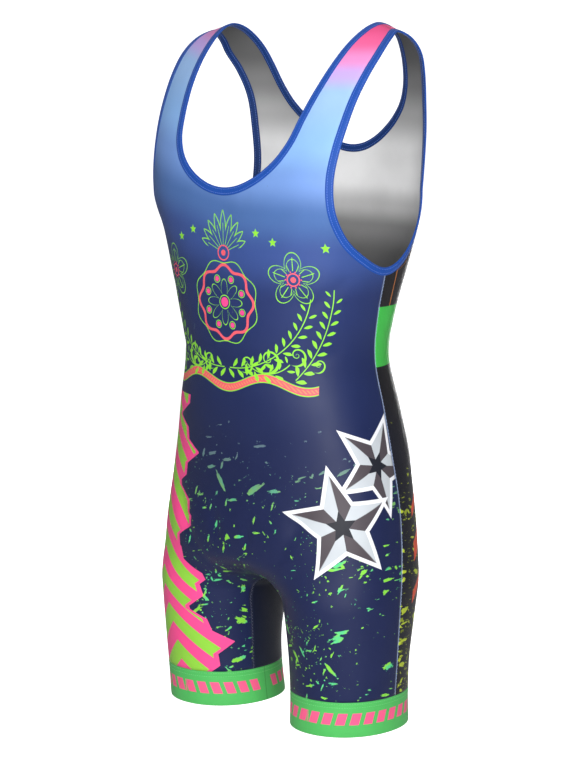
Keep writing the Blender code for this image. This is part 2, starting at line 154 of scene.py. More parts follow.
# The free edge of the left armhole, from its lowest point up the front and down the back
ARMHOLE_EDGE = (
    # x, y, z
    (0.1550, 0.006, -0.2890),
    (0.1560, -0.036, -0.2730),
    (0.1530, -0.066, -0.2490),
    (0.1500, -0.083, -0.2180),
    (0.1505, -0.087, -0.1820),
    (0.1530, -0.081, -0.1500),
    (0.1560, -0.069, -0.1180),
    (0.1595, -0.054, -0.0850),
    (0.1630, -0.035, -0.0560),
    (0.1645, -0.016, -0.0350),
    (0.1615, 0.006, -0.0170),
    (0.1560, 0.025, -0.0075),
    (0.1610, 0.046, -0.0170),
    (0.1630, 0.059, -0.0330),
    (0.1570, 0.074, -0.0560),
    (0.1500, 0.085, -0.0850),
    (0.1450, 0.090, -0.1300),
    (0.1415, 0.090, -0.1800),
    (0.1440, 0.082, -0.2250),
    (0.1510, 0.056, -0.2640),
)
RIDGE_ROW = 11
FRONT_NECK_LEVEL = -0.215
BACK_NECK_LEVEL = -0.185

# The crotch gusset: the turn of its front and back seams from its middle
GUSSET_HUB = (0.0, 0.0, -0.585)
GUSSET_TURN_DROP = 0.135
GUSSET_SEAMS = (
    # way from crotch to cuff, degrees to the front, degrees to the back
    (0.00, 22.0, 28.0),
    (0.30, 26.0, 39.0),
    (0.50, 26.0, 47.0),
    (0.70, 20.0, 54.0),
    (1.00, 15.0, 60.0),
)
CROTCH_SIDE_HEIGHT = -0.705
CUFF_TOP = -0.815

SEAM_GAP = 0.0003
CLOTH_WALL = 0.0012
BINDING_WIDTH = 0.0100
BINDING_TUCK = 0.0035
PANEL_COLUMNS = 60
LEG_ROWS = 34
TRUNK_ROWS = 62
CHEST_ROWS = 18
STRAP_ROWS = 56
FINE = 120
EDGE_POINTS = 600
RAY_REACH = 0.26
RAY_STEPS = 66
HALVINGS = 18
SETTLE_ROUNDS = 5
STRAP_HUB_SHARE = 0.8
STRAP_HUB_DROP = 0.08
SETTLE_SHARE = 0.9
SLOPE_STEP = 2e-4
TINY = 1e-6
MIRRORED = np.array([-1.0, 1.0, 1.0])


def smooth_columns(table, places, level_top=False):
    """The columns of a table at places of its first column, on a smooth curve through its rows."""
    rows = np.array(table)
    rows = rows[np.argsort(rows[:, 0])]
    known, values = rows[:, 0], rows[:, 1:]
    slopes = np.gradient(values, known, axis=0)
    if level_top:
        slopes[-1] = 0.0
    below = np.clip(np.searchsorted(known, places) - 1, 0, len(known) - 2)
    gap = (known[below + 1] - known[below])[:, None]
    t = np.clip((places - known[below])[:, None] / gap, 0.0, 1.0)
    return (
        values[below] * (1 + 2 * t) * (1 - t) ** 2
        + slopes[below] * gap * t * (1 - t) ** 2
        + values[below + 1] * t * t * (3 - 2 * t)
        - slopes[below + 1] * gap * t * t * (1 - t)
    )


def smoothstep(t):
    t = np.clip(t, 0.0, 1.0)
    return t * t * (3 - 2 * t)


def chest_reach(x, front, rise):
    """The depth of the chest section at x from the middle, on the front or on the back."""
    section = smooth_columns(TRUNK, np.full(len(x), CHEST_HEIGHT))
    half, front_depth, back_depth, front_square, back_square = section.T
    half = half + SHOULDER_SPREAD * np.minimum(rise, 1.0)
    square = np.where(front, front_square, back_square)
    depth = np.where(front, -front_depth, back_depth)
    return depth * np.clip(1 - (x / half) ** square, TINY, 1.0) ** (1 / square)


def trunk_distance(points):
    """About how far points are outside the trunk and shoulders, negative inside."""
    x, y, z = np.abs(points[:, 0]), points[:, 1], points[:, 2]
    section = smooth_columns(TRUNK, np.minimum(z, CHEST_HEIGHT), level_top=True)
    half, front_depth, back_depth, front_square, back_square = section.T
    square = np.where(y < 0, front_square, back_square)
    depth = np.where(y < 0, front_depth, back_depth)
    away = np.abs(y) + TINY
    share = ((x / half) ** square + (away / depth) ** square) ** (1 / square)
    level = np.hypot(x, away) * (1 - 1 / share)
    ridge_y = RIDGE_Y + RIDGE_LEAN * (x - RIDGE_X)
    ridge_z = RIDGE_HEIGHT + SHOULDER_SLOPE * (x - RIDGE_X)
    front = y < ridge_y
    rise = np.maximum(z - CHEST_HEIGHT, 0.0) / (ridge_z - CHEST_HEIGHT)
    span = np.abs(chest_reach(x, front, rise) - ridge_y)
    power = np.where(front, FRONT_ARCH, BACK_ARCH)
    away = np.abs(y - ridge_y) + TINY
    share = ((away / span) ** power + rise**power) ** (1 / power)
    arch = np.hypot(away, z - CHEST_HEIGHT) * (1 - 1 / share)
    return np.where(z > CHEST_HEIGHT, arch, level)


def thigh_distance(points):
    """About how far points are outside the two thighs, negative inside."""
    middle_x, middle_y, half, front_depth, back_depth = smooth_columns(THIGH, points[:, 2]).T
    y = points[:, 1] - middle_y
    depth = np.where(y < 0, front_depth, back_depth)
    away = np.abs(y) + TINY
    both = []
    for side in (-1, 1):
        x = np.abs(points[:, 0]) + side * middle_x
        share = (np.abs(x) / half) ** THIGH_SQUARENESS + (away / depth) ** THIGH_SQUARENESS
        both.append(np.hypot(x, away) * (1 - share ** (-1 / THIGH_SQUARENESS)))
    mix = np.clip(0.5 + 0.5 * (both[1] - both[0]) / THIGH_BLEND, 0.0, 1.0)
    return both[1] * (1 - mix) + both[0] * mix - THIGH_BLEND * mix * (1 - mix)


def crease_depth(points):
    """How far the creases sink the cloth at points."""
    depth = np.zeros(len(points))
    for row in CREASES:
        start, end, half_width, sunk = np.array(row[0:3]), np.array(row[3:6]), row[6], row[7]
        run = end - start
        share = np.clip((points - start) @ run / (run @ run), 0.0, 1.0)
        away = np.linalg.norm(points - start - share[:, None] * run, axis=1)
        depth += sunk * np.exp(-((away / half_width) ** 2))
    return depth


def figure(points):
    """The figure that fills the cloth: the trunk, changing into the thighs down the fork."""
    legs = smoothstep((FORK_TOP - points[:, 2]) / (FORK_TOP - FORK_BOTTOM))
    bare = (1 - legs) * trunk_distance(points) + legs * thigh_distance(points)
    return bare + crease_depth(points)


def unit(vectors):
    """Vectors brought to length 1."""
    return vectors / np.linalg.norm(vectors, axis=1)[:, None]


def out_from(origins, directions):
    """Where rays that start inside the figure come out of it."""
    directions = unit(directions)
    steps = np.linspace(0.0, RAY_REACH, RAY_STEPS)
    line = origins[:, None, :] + steps[None, :, None] * directions[:, None, :]
    outside = figure(line.reshape(-1, 3)).reshape(len(origins), RAY_STEPS) > 0
    first = np.argmax(outside[:, 1:], axis=1) + 1
    near, far = steps[first - 1], steps[first]
    for _ in range(HALVINGS):
        middle = (near + far) / 2
        inside = figure(origins + middle[:, None] * directions) < 0
        near, far = np.where(inside, middle, near), np.where(inside, far, middle)
    return origins + near[:, None] * directions


def normals_at(points):
    """The figure's outward normals."""
    steps = SLOPE_STEP * np.eye(3)
    slope = np.stack([figure(points + step) - figure(points - step) for step in steps], axis=1)
    return unit(slope)


def settle(points):
    """Points near the figure, moved onto it."""
    for _ in range(SETTLE_ROUNDS):
        points = points - SETTLE_SHARE * figure(points)[:, None] * normals_at(points)
    return points


def lengths_along(line):
    """The distance of each point of a line from its start."""
    return np.concatenate([[0], np.cumsum(np.linalg.norm(np.diff(line, axis=0), axis=1))])


def at(line, places):
    """Points of a line at places counted in its points."""
    count = np.arange(len(line))
    return np.stack([np.interp(places, count, line[:, k]) for k in range(3)], axis=1)


def evenly(line, count):
    """A line again with count points, evenly along it."""
    lengths = lengths_along(line)
    return at(line, np.interp(np.linspace(0, lengths[-1], count), lengths, np.arange(len(line))))


def closed_edge(rows):
    """A smooth closed line on the figure through the rows of a table."""
    rows = np.array(rows)
    loop = np.concatenate([rows[-3:], rows, rows[:4]])
    along = lengths_along(loop)
    places = np.linspace(along[3], along[3 + len(rows)], 2 * EDGE_POINTS + 1)
    return settle(smooth_columns(np.column_stack([along, loop]), places))


def directions_across(line):
    """The unit directions over the figure to the right of a line, as seen from outside."""
    tangents = np.gradient(line, axis=0)
    if np.allclose(line[0], line[-1]):
        tangents[[0, -1]] = line[1] - line[-2]
    return unit(np.cross(tangents, normals_at(line)))


def moved_across(line, distance):
    """An edge moved over the figure, to the right of its own direction."""
    return settle(line + distance * directions_across(line))


def neck_edge():
    """The neck's free edge, closed, from the middle of the front up the wearer's left."""
    left = np.array(NECK_EDGE)
    return closed_edge(np.concatenate([left, left[-2:0:-1] * MIRRORED]))


def armhole_edge():
    """The left armhole's free edge, and the place on it of the shoulder's ridge."""
    edge = closed_edge(ARMHOLE_EDGE)
    ridge = np.array(ARMHOLE_EDGE[RIDGE_ROW])
    return edge, int(np.argmin(np.linalg.norm(edge - ridge, axis=1)))


def middle_of_leg(heights):
    """Where rows of the panels turn about, by height: the trunk's middle, and lower the thigh's."""
    low = smoothstep((LEG_HUB_TOP - heights) / (LEG_HUB_TOP - LEG_HUB_BOTTOM))
    middle = smooth_columns(THIGH, np.minimum(heights, THIGH[0][0]))
    return np.column_stack([middle[:, 0] * low, middle[:, 1] * low, heights])


def side_seam(heights, shift):
    """Points of the side seam, moved back by shift."""
    start = middle_of_leg(heights)
    start[:, 1] = smooth_columns(SIDE_SEAM, heights)[:, 0] + shift
    return out_from(start, np.tile([1.0, 0.0, 0.0], (len(heights), 1)))


def gusset_points(t, turned):
    """Points of the gusset at t from the crotch 0 to the cuff 1, turned from its middle by degrees."""
    turn_bottom = GUSSET_HUB[2] - GUSSET_TURN_DROP
    low = smooth_columns(THIGH, np.array([turn_bottom]))[0]
    path = np.array([GUSSET_HUB, (low[0], low[1], turn_bottom), (low[0], low[1], CUFF_TOP)])
    reach = lengths_along(path)
    share = t * reach[-1]
    hub = np.stack([np.interp(share, reach, path[:, k]) for k in range(3)], axis=1)
    bend = np.radians(90) * smoothstep(share / reach[1])
    down = np.column_stack([-np.sin(bend), 0 * bend, -np.cos(bend)])
    turned = np.radians(turned)[:, None]
    return out_from(hub, down * np.cos(turned) + np.array([0.0, 1.0, 0.0]) * np.sin(turned))


def moved_seam(side, distance):
    """The gusset's seam with the front at side -1 or the back at side 1, moved off its middle."""
    fine = np.linspace(0, 1, EDGE_POINTS)
    angles = smooth_columns(GUSSET_SEAMS, fine)[:, 0 if side < 0 else 1]
    line = moved_across(gusset_points(fine, side * angles), side * distance)
    line[0, 0] = 0.0
    line[-1, 2] = CUFF_TOP
    return line


def centre_line(side, first, last):
    """The middle of the front or back, from the first point up to the height of the last."""
    hub = np.array(GUSSET_HUB)
    start = np.arctan2(side * first[1], hub[2] - first[2])
    turn = np.linspace(start, np.radians(90), FINE)
    downward = np.column_stack([0 * turn, side * np.sin(turn), -np.cos(turn)])
    under = out_from(np.tile(hub, (FINE, 1)), downward)
    heights = np.linspace(hub[2], last[2], FINE)[1:]
    level = out_from(
        np.column_stack([0 * heights, 0 * heights, heights]), np.tile([0.0, side, 0.0], (FINE - 1, 1))
    )
    return np.concatenate([[first], under[1:], level[:-1], [last]])


def level_row(start, end, side):
    """A row of a panel from its inner to its outer edge, round the front or the back."""
    height = np.linspace(start[2], end[2], FINE)
    hubs = middle_of_leg(height)
    ends = np.array([start, end]) - hubs[[0, -1]]
    turn = np.linspace(*np.arctan2(ends[:, 0], side * ends[:, 1]), FINE)
    row = out_from(hubs, np.column_stack([np.sin(turn), side * np.cos(turn), 0 * turn]))
    row[0], row[-1] = start, end
    return evenly(row, PANEL_COLUMNS + 1)


def settle_inner(grid):
    """Moves all points of a grid but its two long edges onto the figure."""
    inner = grid[:, 1:-1]
    grid[:, 1:-1] = settle(inner.reshape(-1, 3)).reshape(inner.shape)
    return grid


def chest_row(start, end, rise):
    """A row of a panel across the chest, level where rise is 0, or across a strap, where rise is 1."""
    row = start + np.linspace(0, 1, FINE)[:, None] * (end - start)
    hubs = row * (STRAP_HUB_SHARE * rise, 0, 1) + rise * np.array([0.0, RIDGE_Y, -STRAP_HUB_DROP])
    row[1:-1] = out_from(hubs[1:-1], (row - hubs)[1:-1])
    return evenly(row, PANEL_COLUMNS + 1)


def panel_rows(side):
    """The rows of the left half of the front panel at side -1 or of the back panel at side 1."""
    half_gap = SEAM_GAP / 2
    inset = BINDING_WIDTH - BINDING_TUCK
    neck = neck_edge()[: EDGE_POINTS + 1]
    top = int(np.argmax(neck[:, 2]))
    climb = moved_across(neck, inset)
    climb = climb[: top + 1] if side < 0 else climb[: top - 1 : -1]
    climb[0, 0] = 0.0
    neck = evenly(climb, STRAP_ROWS)
    armhole, ridge = armhole_edge()
    arms = moved_across(armhole, -inset)
    arms = arms[: ridge + 1] if side < 0 else arms[: ridge - 1 : -1]
    level = FRONT_NECK_LEVEL if side < 0 else BACK_NECK_LEVEL
    crossing = int(np.argmax(arms[:, 2] > level))
    low_arms = evenly(arms[: crossing + 1], CHEST_ROWS + 1)[:-1]
    arms = np.concatenate([low_arms, evenly(arms[crossing:], STRAP_ROWS)])
    neck[-1, 1] += side * half_gap
    arms[[0, -1], 1] += side * half_gap
    seams = evenly(moved_seam(side, half_gap), LEG_ROWS)[::-1]
    outer = side_seam(np.linspace(CUFF_TOP, CROTCH_SIDE_HEIGHT, LEG_ROWS), side * half_gap)
    rows = [level_row(start, end, side) for start, end in zip(seams, outer)]
    middle = evenly(centre_line(side, seams[-1], neck[0]), TRUNK_ROWS + CHEST_ROWS + 1)
    outer = side_seam(np.linspace(CROTCH_SIDE_HEIGHT, arms[0, 2], TRUNK_ROWS + 1), side * half_gap)
    outer[-1] = arms[0]
    rows += [level_row(start, end, side) for start, end in zip(middle[1 : TRUNK_ROWS + 1], outer[1:])]
    rises = smoothstep(np.arange(1, CHEST_ROWS + 1) / CHEST_ROWS)
    rows += [chest_row(*ends) for ends in zip(middle[TRUNK_ROWS + 1 :], arms[1:], rises)]
    rows += [chest_row(start, end, 1.0) for start, end in zip(neck[1:], arms[CHEST_ROWS + 1 :])]
    return settle_inner(np.array(rows))


def placed(name, mesh, materials):
    """A smooth object of a mesh in the scene, with its materials."""
    mesh.shade_smooth()
    for material in materials:
        mesh.materials.append(material)
    piece = bpy.data.objects.new(name, mesh)
    bpy.context.scene.collection.objects.link(piece)
    return piece


def shell(name, grids, materials, values=None):
    """A piece of cloth from its grids of points, with its wall on the inside.

    values gives each grid's arrays for the attributes that the print follows. The first material is the
    face and the second the inside.
    """
    mesh = bpy.data.meshes.new(name)
    model = bmesh.new()
    kept = {key: model.verts.layers.float.new(key) for key in (values or [{}])[0]}
    for number, grid in enumerate(grids):
        points = [[model.verts.new(point) for point in row] for row in grid]
        for key, layer in kept.items():
            for point, value in zip(sum(points, []), values[number][key].ravel()):
                point[layer] = value
        faces = []
        for row, above in zip(points, points[1:]):
            for k in range(len(row) - 1):
                faces.append(model.faces.new((row[k], row[k + 1], above[k + 1], above[k])))
        model.normal_update()
        middles = np.array([face.calc_center_median() for face in faces])
        facing = np.array([face.normal for face in faces])
        if np.sum(facing * normals_at(middles)) < 0:
            bmesh.ops.reverse_faces(model, faces=faces)
    bmesh.ops.remove_doubles(model, verts=[v for v in model.verts if abs(v.co.x) < TINY], dist=TINY)
    model.to_mesh(mesh)
    model.free()
    piece = placed(name, mesh, materials)
    wall = piece.modifiers.new("Wall", "SOLIDIFY")
    wall.thickness = CLOTH_WALL
    wall.offset = -1.0
    wall.material_offset = 1
    bpy.context.view_layer.objects.active = piece
    bpy.ops.object.modifier_apply(modifier=wall.name)
    return piece


class Wire:
    """A number in a node tree, with which formulas are written."""

    def __init__(self, tree, socket):
        self.tree = tree
        self.socket = socket

    def math(self, operation, *others):
        return Wire(self.tree, node(self.tree, "Math", (self, *others), operation=operation).outputs[0])

    def __add__(self, other):
        return self.math("ADD", other)

    def __sub__(self, other):
        return self.math("SUBTRACT", other)

    def __mul__(self, other):
        return self.math("MULTIPLY", other)

    def __truediv__(self, other):
        return self.math("DIVIDE", other)

    def __rsub__(self, other):
        return self.math("MULTIPLY_ADD", -1.0, other)

    def __abs__(self):
        return self.math("ABSOLUTE")

    def above(self, limit, soft):
        """1 where the number is over limit and 0 where it is under it, with an edge of width soft."""
        share = (self - limit) / soft + 0.5
        return Wire(self.tree, node(self.tree, "Clamp", (share,)).outputs[0])

    def printed(self):
        """1 where the number is over 0, with the edge of a print."""
        return self.above(0.0, PRINT_SOFT)


def feed(tree, place, value):
    """Gives an input a wire, a socket or a plain value."""
    if isinstance(value, Wire):
        value = value.socket
    if isinstance(value, bpy.types.NodeSocket):
        tree.links.new(value, place)
    else:
        place.default_value = value


def node(tree, kind, inputs=(), **settings):
    """A new node with its settings, and with its inputs by name or in their order."""
    step = tree.nodes.new("ShaderNode" + kind)
    for key, value in settings.items():
        setattr(step, key, value)
    for key, value in inputs.items() if isinstance(inputs, dict) else enumerate(inputs):
        feed(tree, step.inputs[key], value)
    return step


def hypot(a, b):
    return (a * a + b * b).math("SQRT")


def smaller(a, b):
    return a.math("MINIMUM", b)


def larger(a, b):
    return a.math("MAXIMUM", b)


def group(name, inputs, outputs, formula):
    """A node group whose outputs the formula works out from its inputs."""
    tree = bpy.data.node_groups.new(name, "ShaderNodeTree")
    for keys, way in ((inputs, "INPUT"), (outputs, "OUTPUT")):
        for key in keys:
            tree.interface.new_socket(name=key, in_out=way, socket_type="NodeSocketFloat")
    start = tree.nodes.new("NodeGroupInput")
    end = tree.nodes.new("NodeGroupOutput")
    results = formula(*[Wire(tree, start.outputs[key]) for key in inputs])
    for key, result in zip(outputs, results):
        feed(tree, end.inputs[key], result)
    return tree


def use(tree, group_tree, *values):
    """A group placed in a tree with its inputs given, and its outputs."""
    return [Wire(tree, output) for output in node(tree, "Group", values, node_tree=group_tree).outputs]


def linear(code):
    """A colour as the shader needs it, from its six-figure screen code."""
    parts = np.array([int(code[k : k + 2], 16) for k in (0, 2, 4)]) / 255
    parts = np.where(parts < 0.04045, parts / 12.92, ((parts + 0.055) / 1.055) ** 2.4)
    return (*parts, 1.0)


def attribute(tree, name):
    return Wire(tree, node(tree, "Attribute", attribute_name=name).outputs["Fac"])


def place_on_object(tree):
    """The object coordinates of the surface, as a vector socket and as three numbers."""
    source = node(tree, "TexCoord").outputs["Object"]
    return source, [Wire(tree, output) for output in node(tree, "SeparateXYZ", (source,)).outputs]


def painted(tree, ground, colour, mask):
    """A colour socket with another colour over it where the mask is 1."""
    return node(tree, "Mix", {0: mask, 6: ground, 7: colour}, data_type="RGBA").outputs[2]


def ramp(tree, height, stops):
    """A smooth run of colours down the garment. stops gives (height, colour code) from the top."""
    top, bottom = stops[0][0], stops[-1][0]
    share = (height * -1.0 + top) / (top - bottom)
    step = node(tree, "ValToRGB", (share,))
    step.color_ramp.interpolation = "EASE"
    elements = step.color_ramp.elements
    while len(elements) < len(stops):
        elements.new(0.5)
    for element, (place, code) in zip(elements, stops):
        element.position = (top - place) / (top - bottom)
        element.color = linear(code)
    return step.outputs[0]


def noise(tree, vector, scale, detail=2.0):
    inputs = {"Vector": vector, "Scale": scale, "Detail": detail}
    return Wire(tree, node(tree, "TexNoise", inputs).outputs["Fac"])


WALE_PITCH = 0.0011
COURSE_PITCH = 0.0009


def knit_height(across, up):
    """Fine vertical wales crossed by courses, with the courses bent into the wales' loops."""
    wale = (across * (2 * np.pi / WALE_PITCH)).math("COSINE")
    course = up * (2 * np.pi / COURSE_PITCH) + wale * 0.9
    return [wale * 0.6 + course.math("COSINE") * 0.4]


PAINT_STROKES = (
    # turn, length, width, share of cells that hold paint, raggedness, smallest, largest
    (0.62, 0.060, 0.0115, 0.46, 0.34, 0.08, 0.30),
    (-0.95, 0.044, 0.0100, 0.40, 0.36, 0.08, 0.30),
    (0.20, 0.030, 0.0070, 0.46, 0.40, 0.08, 0.30),
    (1.25, 0.021, 0.0062, 0.42, 0.40, 0.08, 0.28),
    (0.00, 0.0075, 0.0068, 0.42, 0.55, 0.05, 0.26),
    (0.40, 0.0042, 0.0040, 0.36, 0.50, 0.05, 0.26),
)
PAINT_DEPTH = 0.030
TINT_SCALE = 45.0


def paint_masks(x, y, z, amount):
    """Flung paint: long strokes, short flecks and fine drops, as thick as amount says."""
    tree = x.tree
    total = None
    for number, (turn, length, width, share, ragged, small, large) in enumerate(PAINT_STROKES):
        sine, cosine = float(np.sin(turn)), float(np.cos(turn))
        run = x * cosine + z * sine
        rise = z * cosine - x * sine
        spread = (run / length + number * 3.7, y / PAINT_DEPTH, rise / width)
        cells = node(tree, "CombineXYZ", spread).outputs[0]
        inputs = {"Vector": cells, "Scale": 2.3, "Detail": 4.0, "Roughness": 0.62}
        warp = node(tree, "TexNoise", inputs).outputs["Color"]
        moved = node(tree, "VectorMath", (warp, (ragged * 2,) * 3, cells), operation="MULTIPLY_ADD")
        blots = node(tree, "TexVoronoi", {"Vector": moved.outputs[0], "Scale": 1.0})
        split = node(tree, "SeparateColor", (blots.outputs["Color"],))
        chance, size = Wire(tree, split.outputs[0]), Wire(tree, split.outputs[1])
        size = size * size * (large - small) + small
        blot = (size - Wire(tree, blots.outputs["Distance"])).above(0.0, 0.02)
        layer = blot * (amount * share - chance).above(0.0, 0.01)
        total = layer if total is None else larger(total, layer)
    place = node(tree, "CombineXYZ", [way * TINT_SCALE for way in (x, y, z)]).outputs[0]
    return [total, (noise(tree, place, 1.0) - 0.35) / 0.3]


STAR_POINTS = 5
STAR_WAIST = 0.46
PRINT_SOFT = 0.0003
PRINT_LINE = 0.0006
THIN_LINE = 0.0005
LEAF_PITCH = 0.0135


def star_masks(u, v, radius, turn):
    """The distance inside a five-pointed star's edge, and which half of each point is the light one."""
    angle = u.math("ARCTAN2", v) + turn
    sector = (angle * (STAR_POINTS / (2 * np.pi)) + 0.5).math("FRACT") - 0.5
    half = abs(sector) * (2 * np.pi / STAR_POINTS)
    reach = hypot(u, v)
    valley = STAR_WAIST * np.array([np.cos(np.pi / STAR_POINTS), np.sin(np.pi / STAR_POINTS)])
    outward = np.array([valley[1], 1 - valley[0]])
    outward = outward / np.linalg.norm(outward)
    inside = (radius - reach * half.math("COSINE")) * float(outward[0])
    inside = inside - reach * half.math("SINE") * float(outward[1])
    return [inside, sector.above(0.0, 0.02)]


def rosette_masks(u, v):
    """A scalloped ring round a flower, with discs between the petals: its coral, pink and lime."""
    lobes = 8
    ring, ring_wave, ring_half = 0.0425, 0.0030, 0.0019
    rim, rim_wave = 0.0500, 0.0024
    petal_root, petal_length = 0.0105, 0.0175
    disc_way, disc_radius, disc_rim = 0.0300, 0.0031, 0.0045
    eye, eye_rim = 0.0058, 0.0082
    reach = hypot(u, v)
    angle = u.math("ARCTAN2", v)
    wave = (angle * float(lobes)).math("COSINE")
    coral = ring_half - abs(reach - ring - wave * ring_wave)
    outer = PRINT_LINE - abs(reach - rim + wave * rim_wave)
    petals = abs((angle * (lobes / 2)).math("COSINE")) * petal_length
    petal = PRINT_LINE - abs(reach - petal_root - petals)
    turn = ((angle * (lobes / (2 * np.pi))).math("FRACT") - 0.5) * (2 * np.pi / lobes)
    disc = hypot(reach * turn.math("COSINE") - disc_way, reach * turn.math("SINE"))
    pink = larger(disc_radius - disc, eye - reach)
    rings = larger(THIN_LINE - abs(disc - disc_rim), PRINT_LINE - abs(reach - eye_rim))
    lime = larger(larger(outer, petal), rings)
    return [wire.printed() for wire in (coral, pink, lime)]


def spray_masks(across, along, length):
    """Pointed leaves on both sides of a stem that runs along, smaller towards its tip."""
    leaf_way, leaf_half_length, leaf_half_width = 0.0098, 0.0082, 0.0024
    smallest = 0.45
    lean = np.radians(48)
    sine, cosine = float(np.sin(lean)), float(np.cos(lean))
    cell = along / LEAF_PITCH + across.above(0.0, TINY) * 0.5
    part = cell.math("FRACT")
    foot = (cell - part) * LEAF_PITCH / length
    size = smaller((1.02 - foot) * 4.0, 1.0 - foot * 0.35)
    local = (part - 0.30) * LEAF_PITCH
    out = abs(across)
    a = local * cosine + out * sine - leaf_way
    b = out * cosine - local * sine
    way = a / (size * leaf_half_length)
    leaf = smaller((1.0 - way * way) * size * leaf_half_width - abs(b), size - smallest)
    leaf = smaller(leaf, foot + 0.08)
    share = along / length
    stem = smaller(PRINT_LINE - abs(across), smaller(share, 1.0 - share))
    return [larger(leaf, stem).printed()]


def scroll_masks(u, v, radius):
    """A curl whose line thins as it winds in."""
    winding, line_half, eye = 0.23, 0.085, 0.07
    reach = hypot(u, v)
    wound = (reach / radius).math("LOGARITHM", np.e) / winding - u.math("ARCTAN2", v)
    line = abs((wound / (2 * np.pi)).math("FRACT") - 0.5)
    mask = (line_half - line).above(0.0, 0.03)
    return [mask * (radius - reach).above(0.0, 0.0008) * (reach - radius * eye).printed()]


def flower_masks(u, v):
    """A five-petalled flower in line: its lime and its coral."""
    petals = 5
    outline_root, outline_lobe = 0.0165, 0.0165
    inner_root, inner_lobe = 0.0130, 0.0120
    vein_start, vein_end = 0.0110, 0.0270
    eye, eye_ring, dot_ring, dot = 0.0034, 0.0075, 0.0098, 0.0009
    reach = hypot(u, v)
    angle = u.math("ARCTAN2", v)
    lobes = abs((angle * (petals / 2)).math("COSINE"))
    outline = PRINT_LINE - abs(reach - outline_root - lobes * outline_lobe)
    inner = 0.0004 - abs(reach - inner_root - lobes * inner_lobe)
    vein = THIN_LINE - abs((angle * (petals / 2)).math("SINE")) * reach * 0.4
    vein = smaller(smaller(vein, vein_end - reach), reach - vein_start)
    side_veins = 0.0004 - abs((angle * (petals * 1.5)).math("SINE")) * reach * 0.13
    side_veins = smaller(smaller(side_veins, lobes * 0.0050 + 0.0170 - reach), reach - vein_start)
    coral = larger(0.0008 - abs(reach - eye_ring), eye - reach)
    dots = (angle * (2 * petals / (2 * np.pi))).math("FRACT") - 0.5
    coral = larger(coral, dot - hypot(dots * reach * 0.628, reach - dot_ring))
    lime = larger(larger(outline, inner), larger(vein, side_veins))
    return [wire.printed() for wire in (lime, coral)]


def fan_masks(u, v):
    """A fan of nine long petals, spread upwards from its foot: its lime and its coral."""
    petals, spread = 9, np.radians(150)
    start, middle_length, petal_width = 0.0100, 0.052, 0.0115
    foot_ring, foot_eye = 0.0088, 0.0036
    reach = hypot(u, v)
    angle = u.math("ARCTAN2", v)
    cell = angle * (petals / spread) + 0.5
    turn = (cell.math("FRACT") - 0.5) * (spread / petals)
    length = middle_length - abs(angle) * 0.011
    share = reach / length
    width = share * (1.0 - share * share) * petal_width
    away = abs(reach * turn.math("SINE"))
    petal = THIN_LINE - abs(away - width) * 0.8
    rib = 0.00035 - away
    petal = larger(petal, smaller(rib, length * 0.7 - reach))
    held = (spread / 2 - abs(angle)).above(0.0, 0.01) * (length - reach).printed()
    held = held * (reach - start).printed()
    foot = larger(0.0008 - abs(reach - foot_ring), foot_eye - reach)
    return [petal.printed() * held, foot.printed()]


def down_from(height, top, fade):
    """0 over the height top, changing to 1 down the length fade."""
    return ((height - top) * -1.0 / fade).above(0.5, 1.0)


def wave_of(number, length):
    """A triangle wave from 0 to 1 and back, over length."""
    return abs((number / length).math("FRACT") * 2.0 - 1.0)


KNIT = group("Stretch knit", ["Across", "Up"], ["Height"], knit_height)
PAINT = group("Flung paint", ["X", "Y", "Z", "Amount"], ["Paint", "Tint"], paint_masks)
STAR = group("Star", ["U", "V", "Radius", "Turn"], ["Inside", "Light half"], star_masks)
ROSETTE = group("Rosette", ["U", "V"], ["Coral", "Pink", "Lime"], rosette_masks)
SPRAY = group("Leaf spray", ["Across", "Along", "Length"], ["Lime"], spray_masks)
SCROLL = group("Scroll", ["U", "V", "Radius"], ["Lime"], scroll_masks)
FLOWER = group("Line flower", ["U", "V"], ["Lime", "Coral"], flower_masks)
FAN = group("Petal fan", ["U", "V"], ["Lime", "Coral"], fan_masks)

LIME = linear("8fdf3c")
LEAF_GREEN = linear("86d646")
MINT = linear("58d089")
HOT_PINK = linear("ff4f96")
CORAL = linear("f0606e")
ORANGE = linear("ee8a62")
PALE_BLUE = linear("a9bfe8")
CLOTH_ROUGHNESS = 0.46
CLOTH_SHEEN = 0.04


def cloth(name, roughness=CLOTH_ROUGHNESS, sheen=CLOTH_SHEEN):
    """A new cloth material, its tree and its shader."""
    material = bpy.data.materials.new(name)
    material.use_nodes = True
    tree = material.node_tree
    shader = tree.nodes["Principled BSDF"]
    looks = {"Roughness": roughness, "Sheen Weight": sheen, "Sheen Roughness": 0.45}
    for key, value in {**looks, "Specular IOR Level": 0.26}.items():
        shader.inputs[key].default_value = value
    return material, tree, shader


def bump(tree, shader, height, strength, distance):
    step = node(tree, "Bump", {"Strength": strength, "Distance": distance, "Height": height})
    tree.links.new(step.outputs[0], shader.inputs["Normal"])


def knit_finish(tree, shader, ground, across, up, strength=0.25):
    """Joins a colour to the shader, with the knit's grain in its tone, its gloss and its bump."""
    height = use(tree, KNIT, across, up)[0]
    source, _ = place_on_object(tree)
    drift = noise(tree, source, 26.0, 3.0)
    tone = (drift - 0.5) * 0.16 + height * 0.035 + 1.0
    if not isinstance(ground, bpy.types.NodeSocket):
        ground = ground[:3]
    scale = node(tree, "VectorMath", {0: ground, "Scale": tone}, operation="SCALE")
    feed(tree, shader.inputs["Base Color"], scale.outputs[0])
    rough = (drift - 0.5) * 0.22 - height * 0.04 + shader.inputs["Roughness"].default_value
    feed(tree, shader.inputs["Roughness"], rough)
    bump(tree, shader, height, strength, 0.0002)


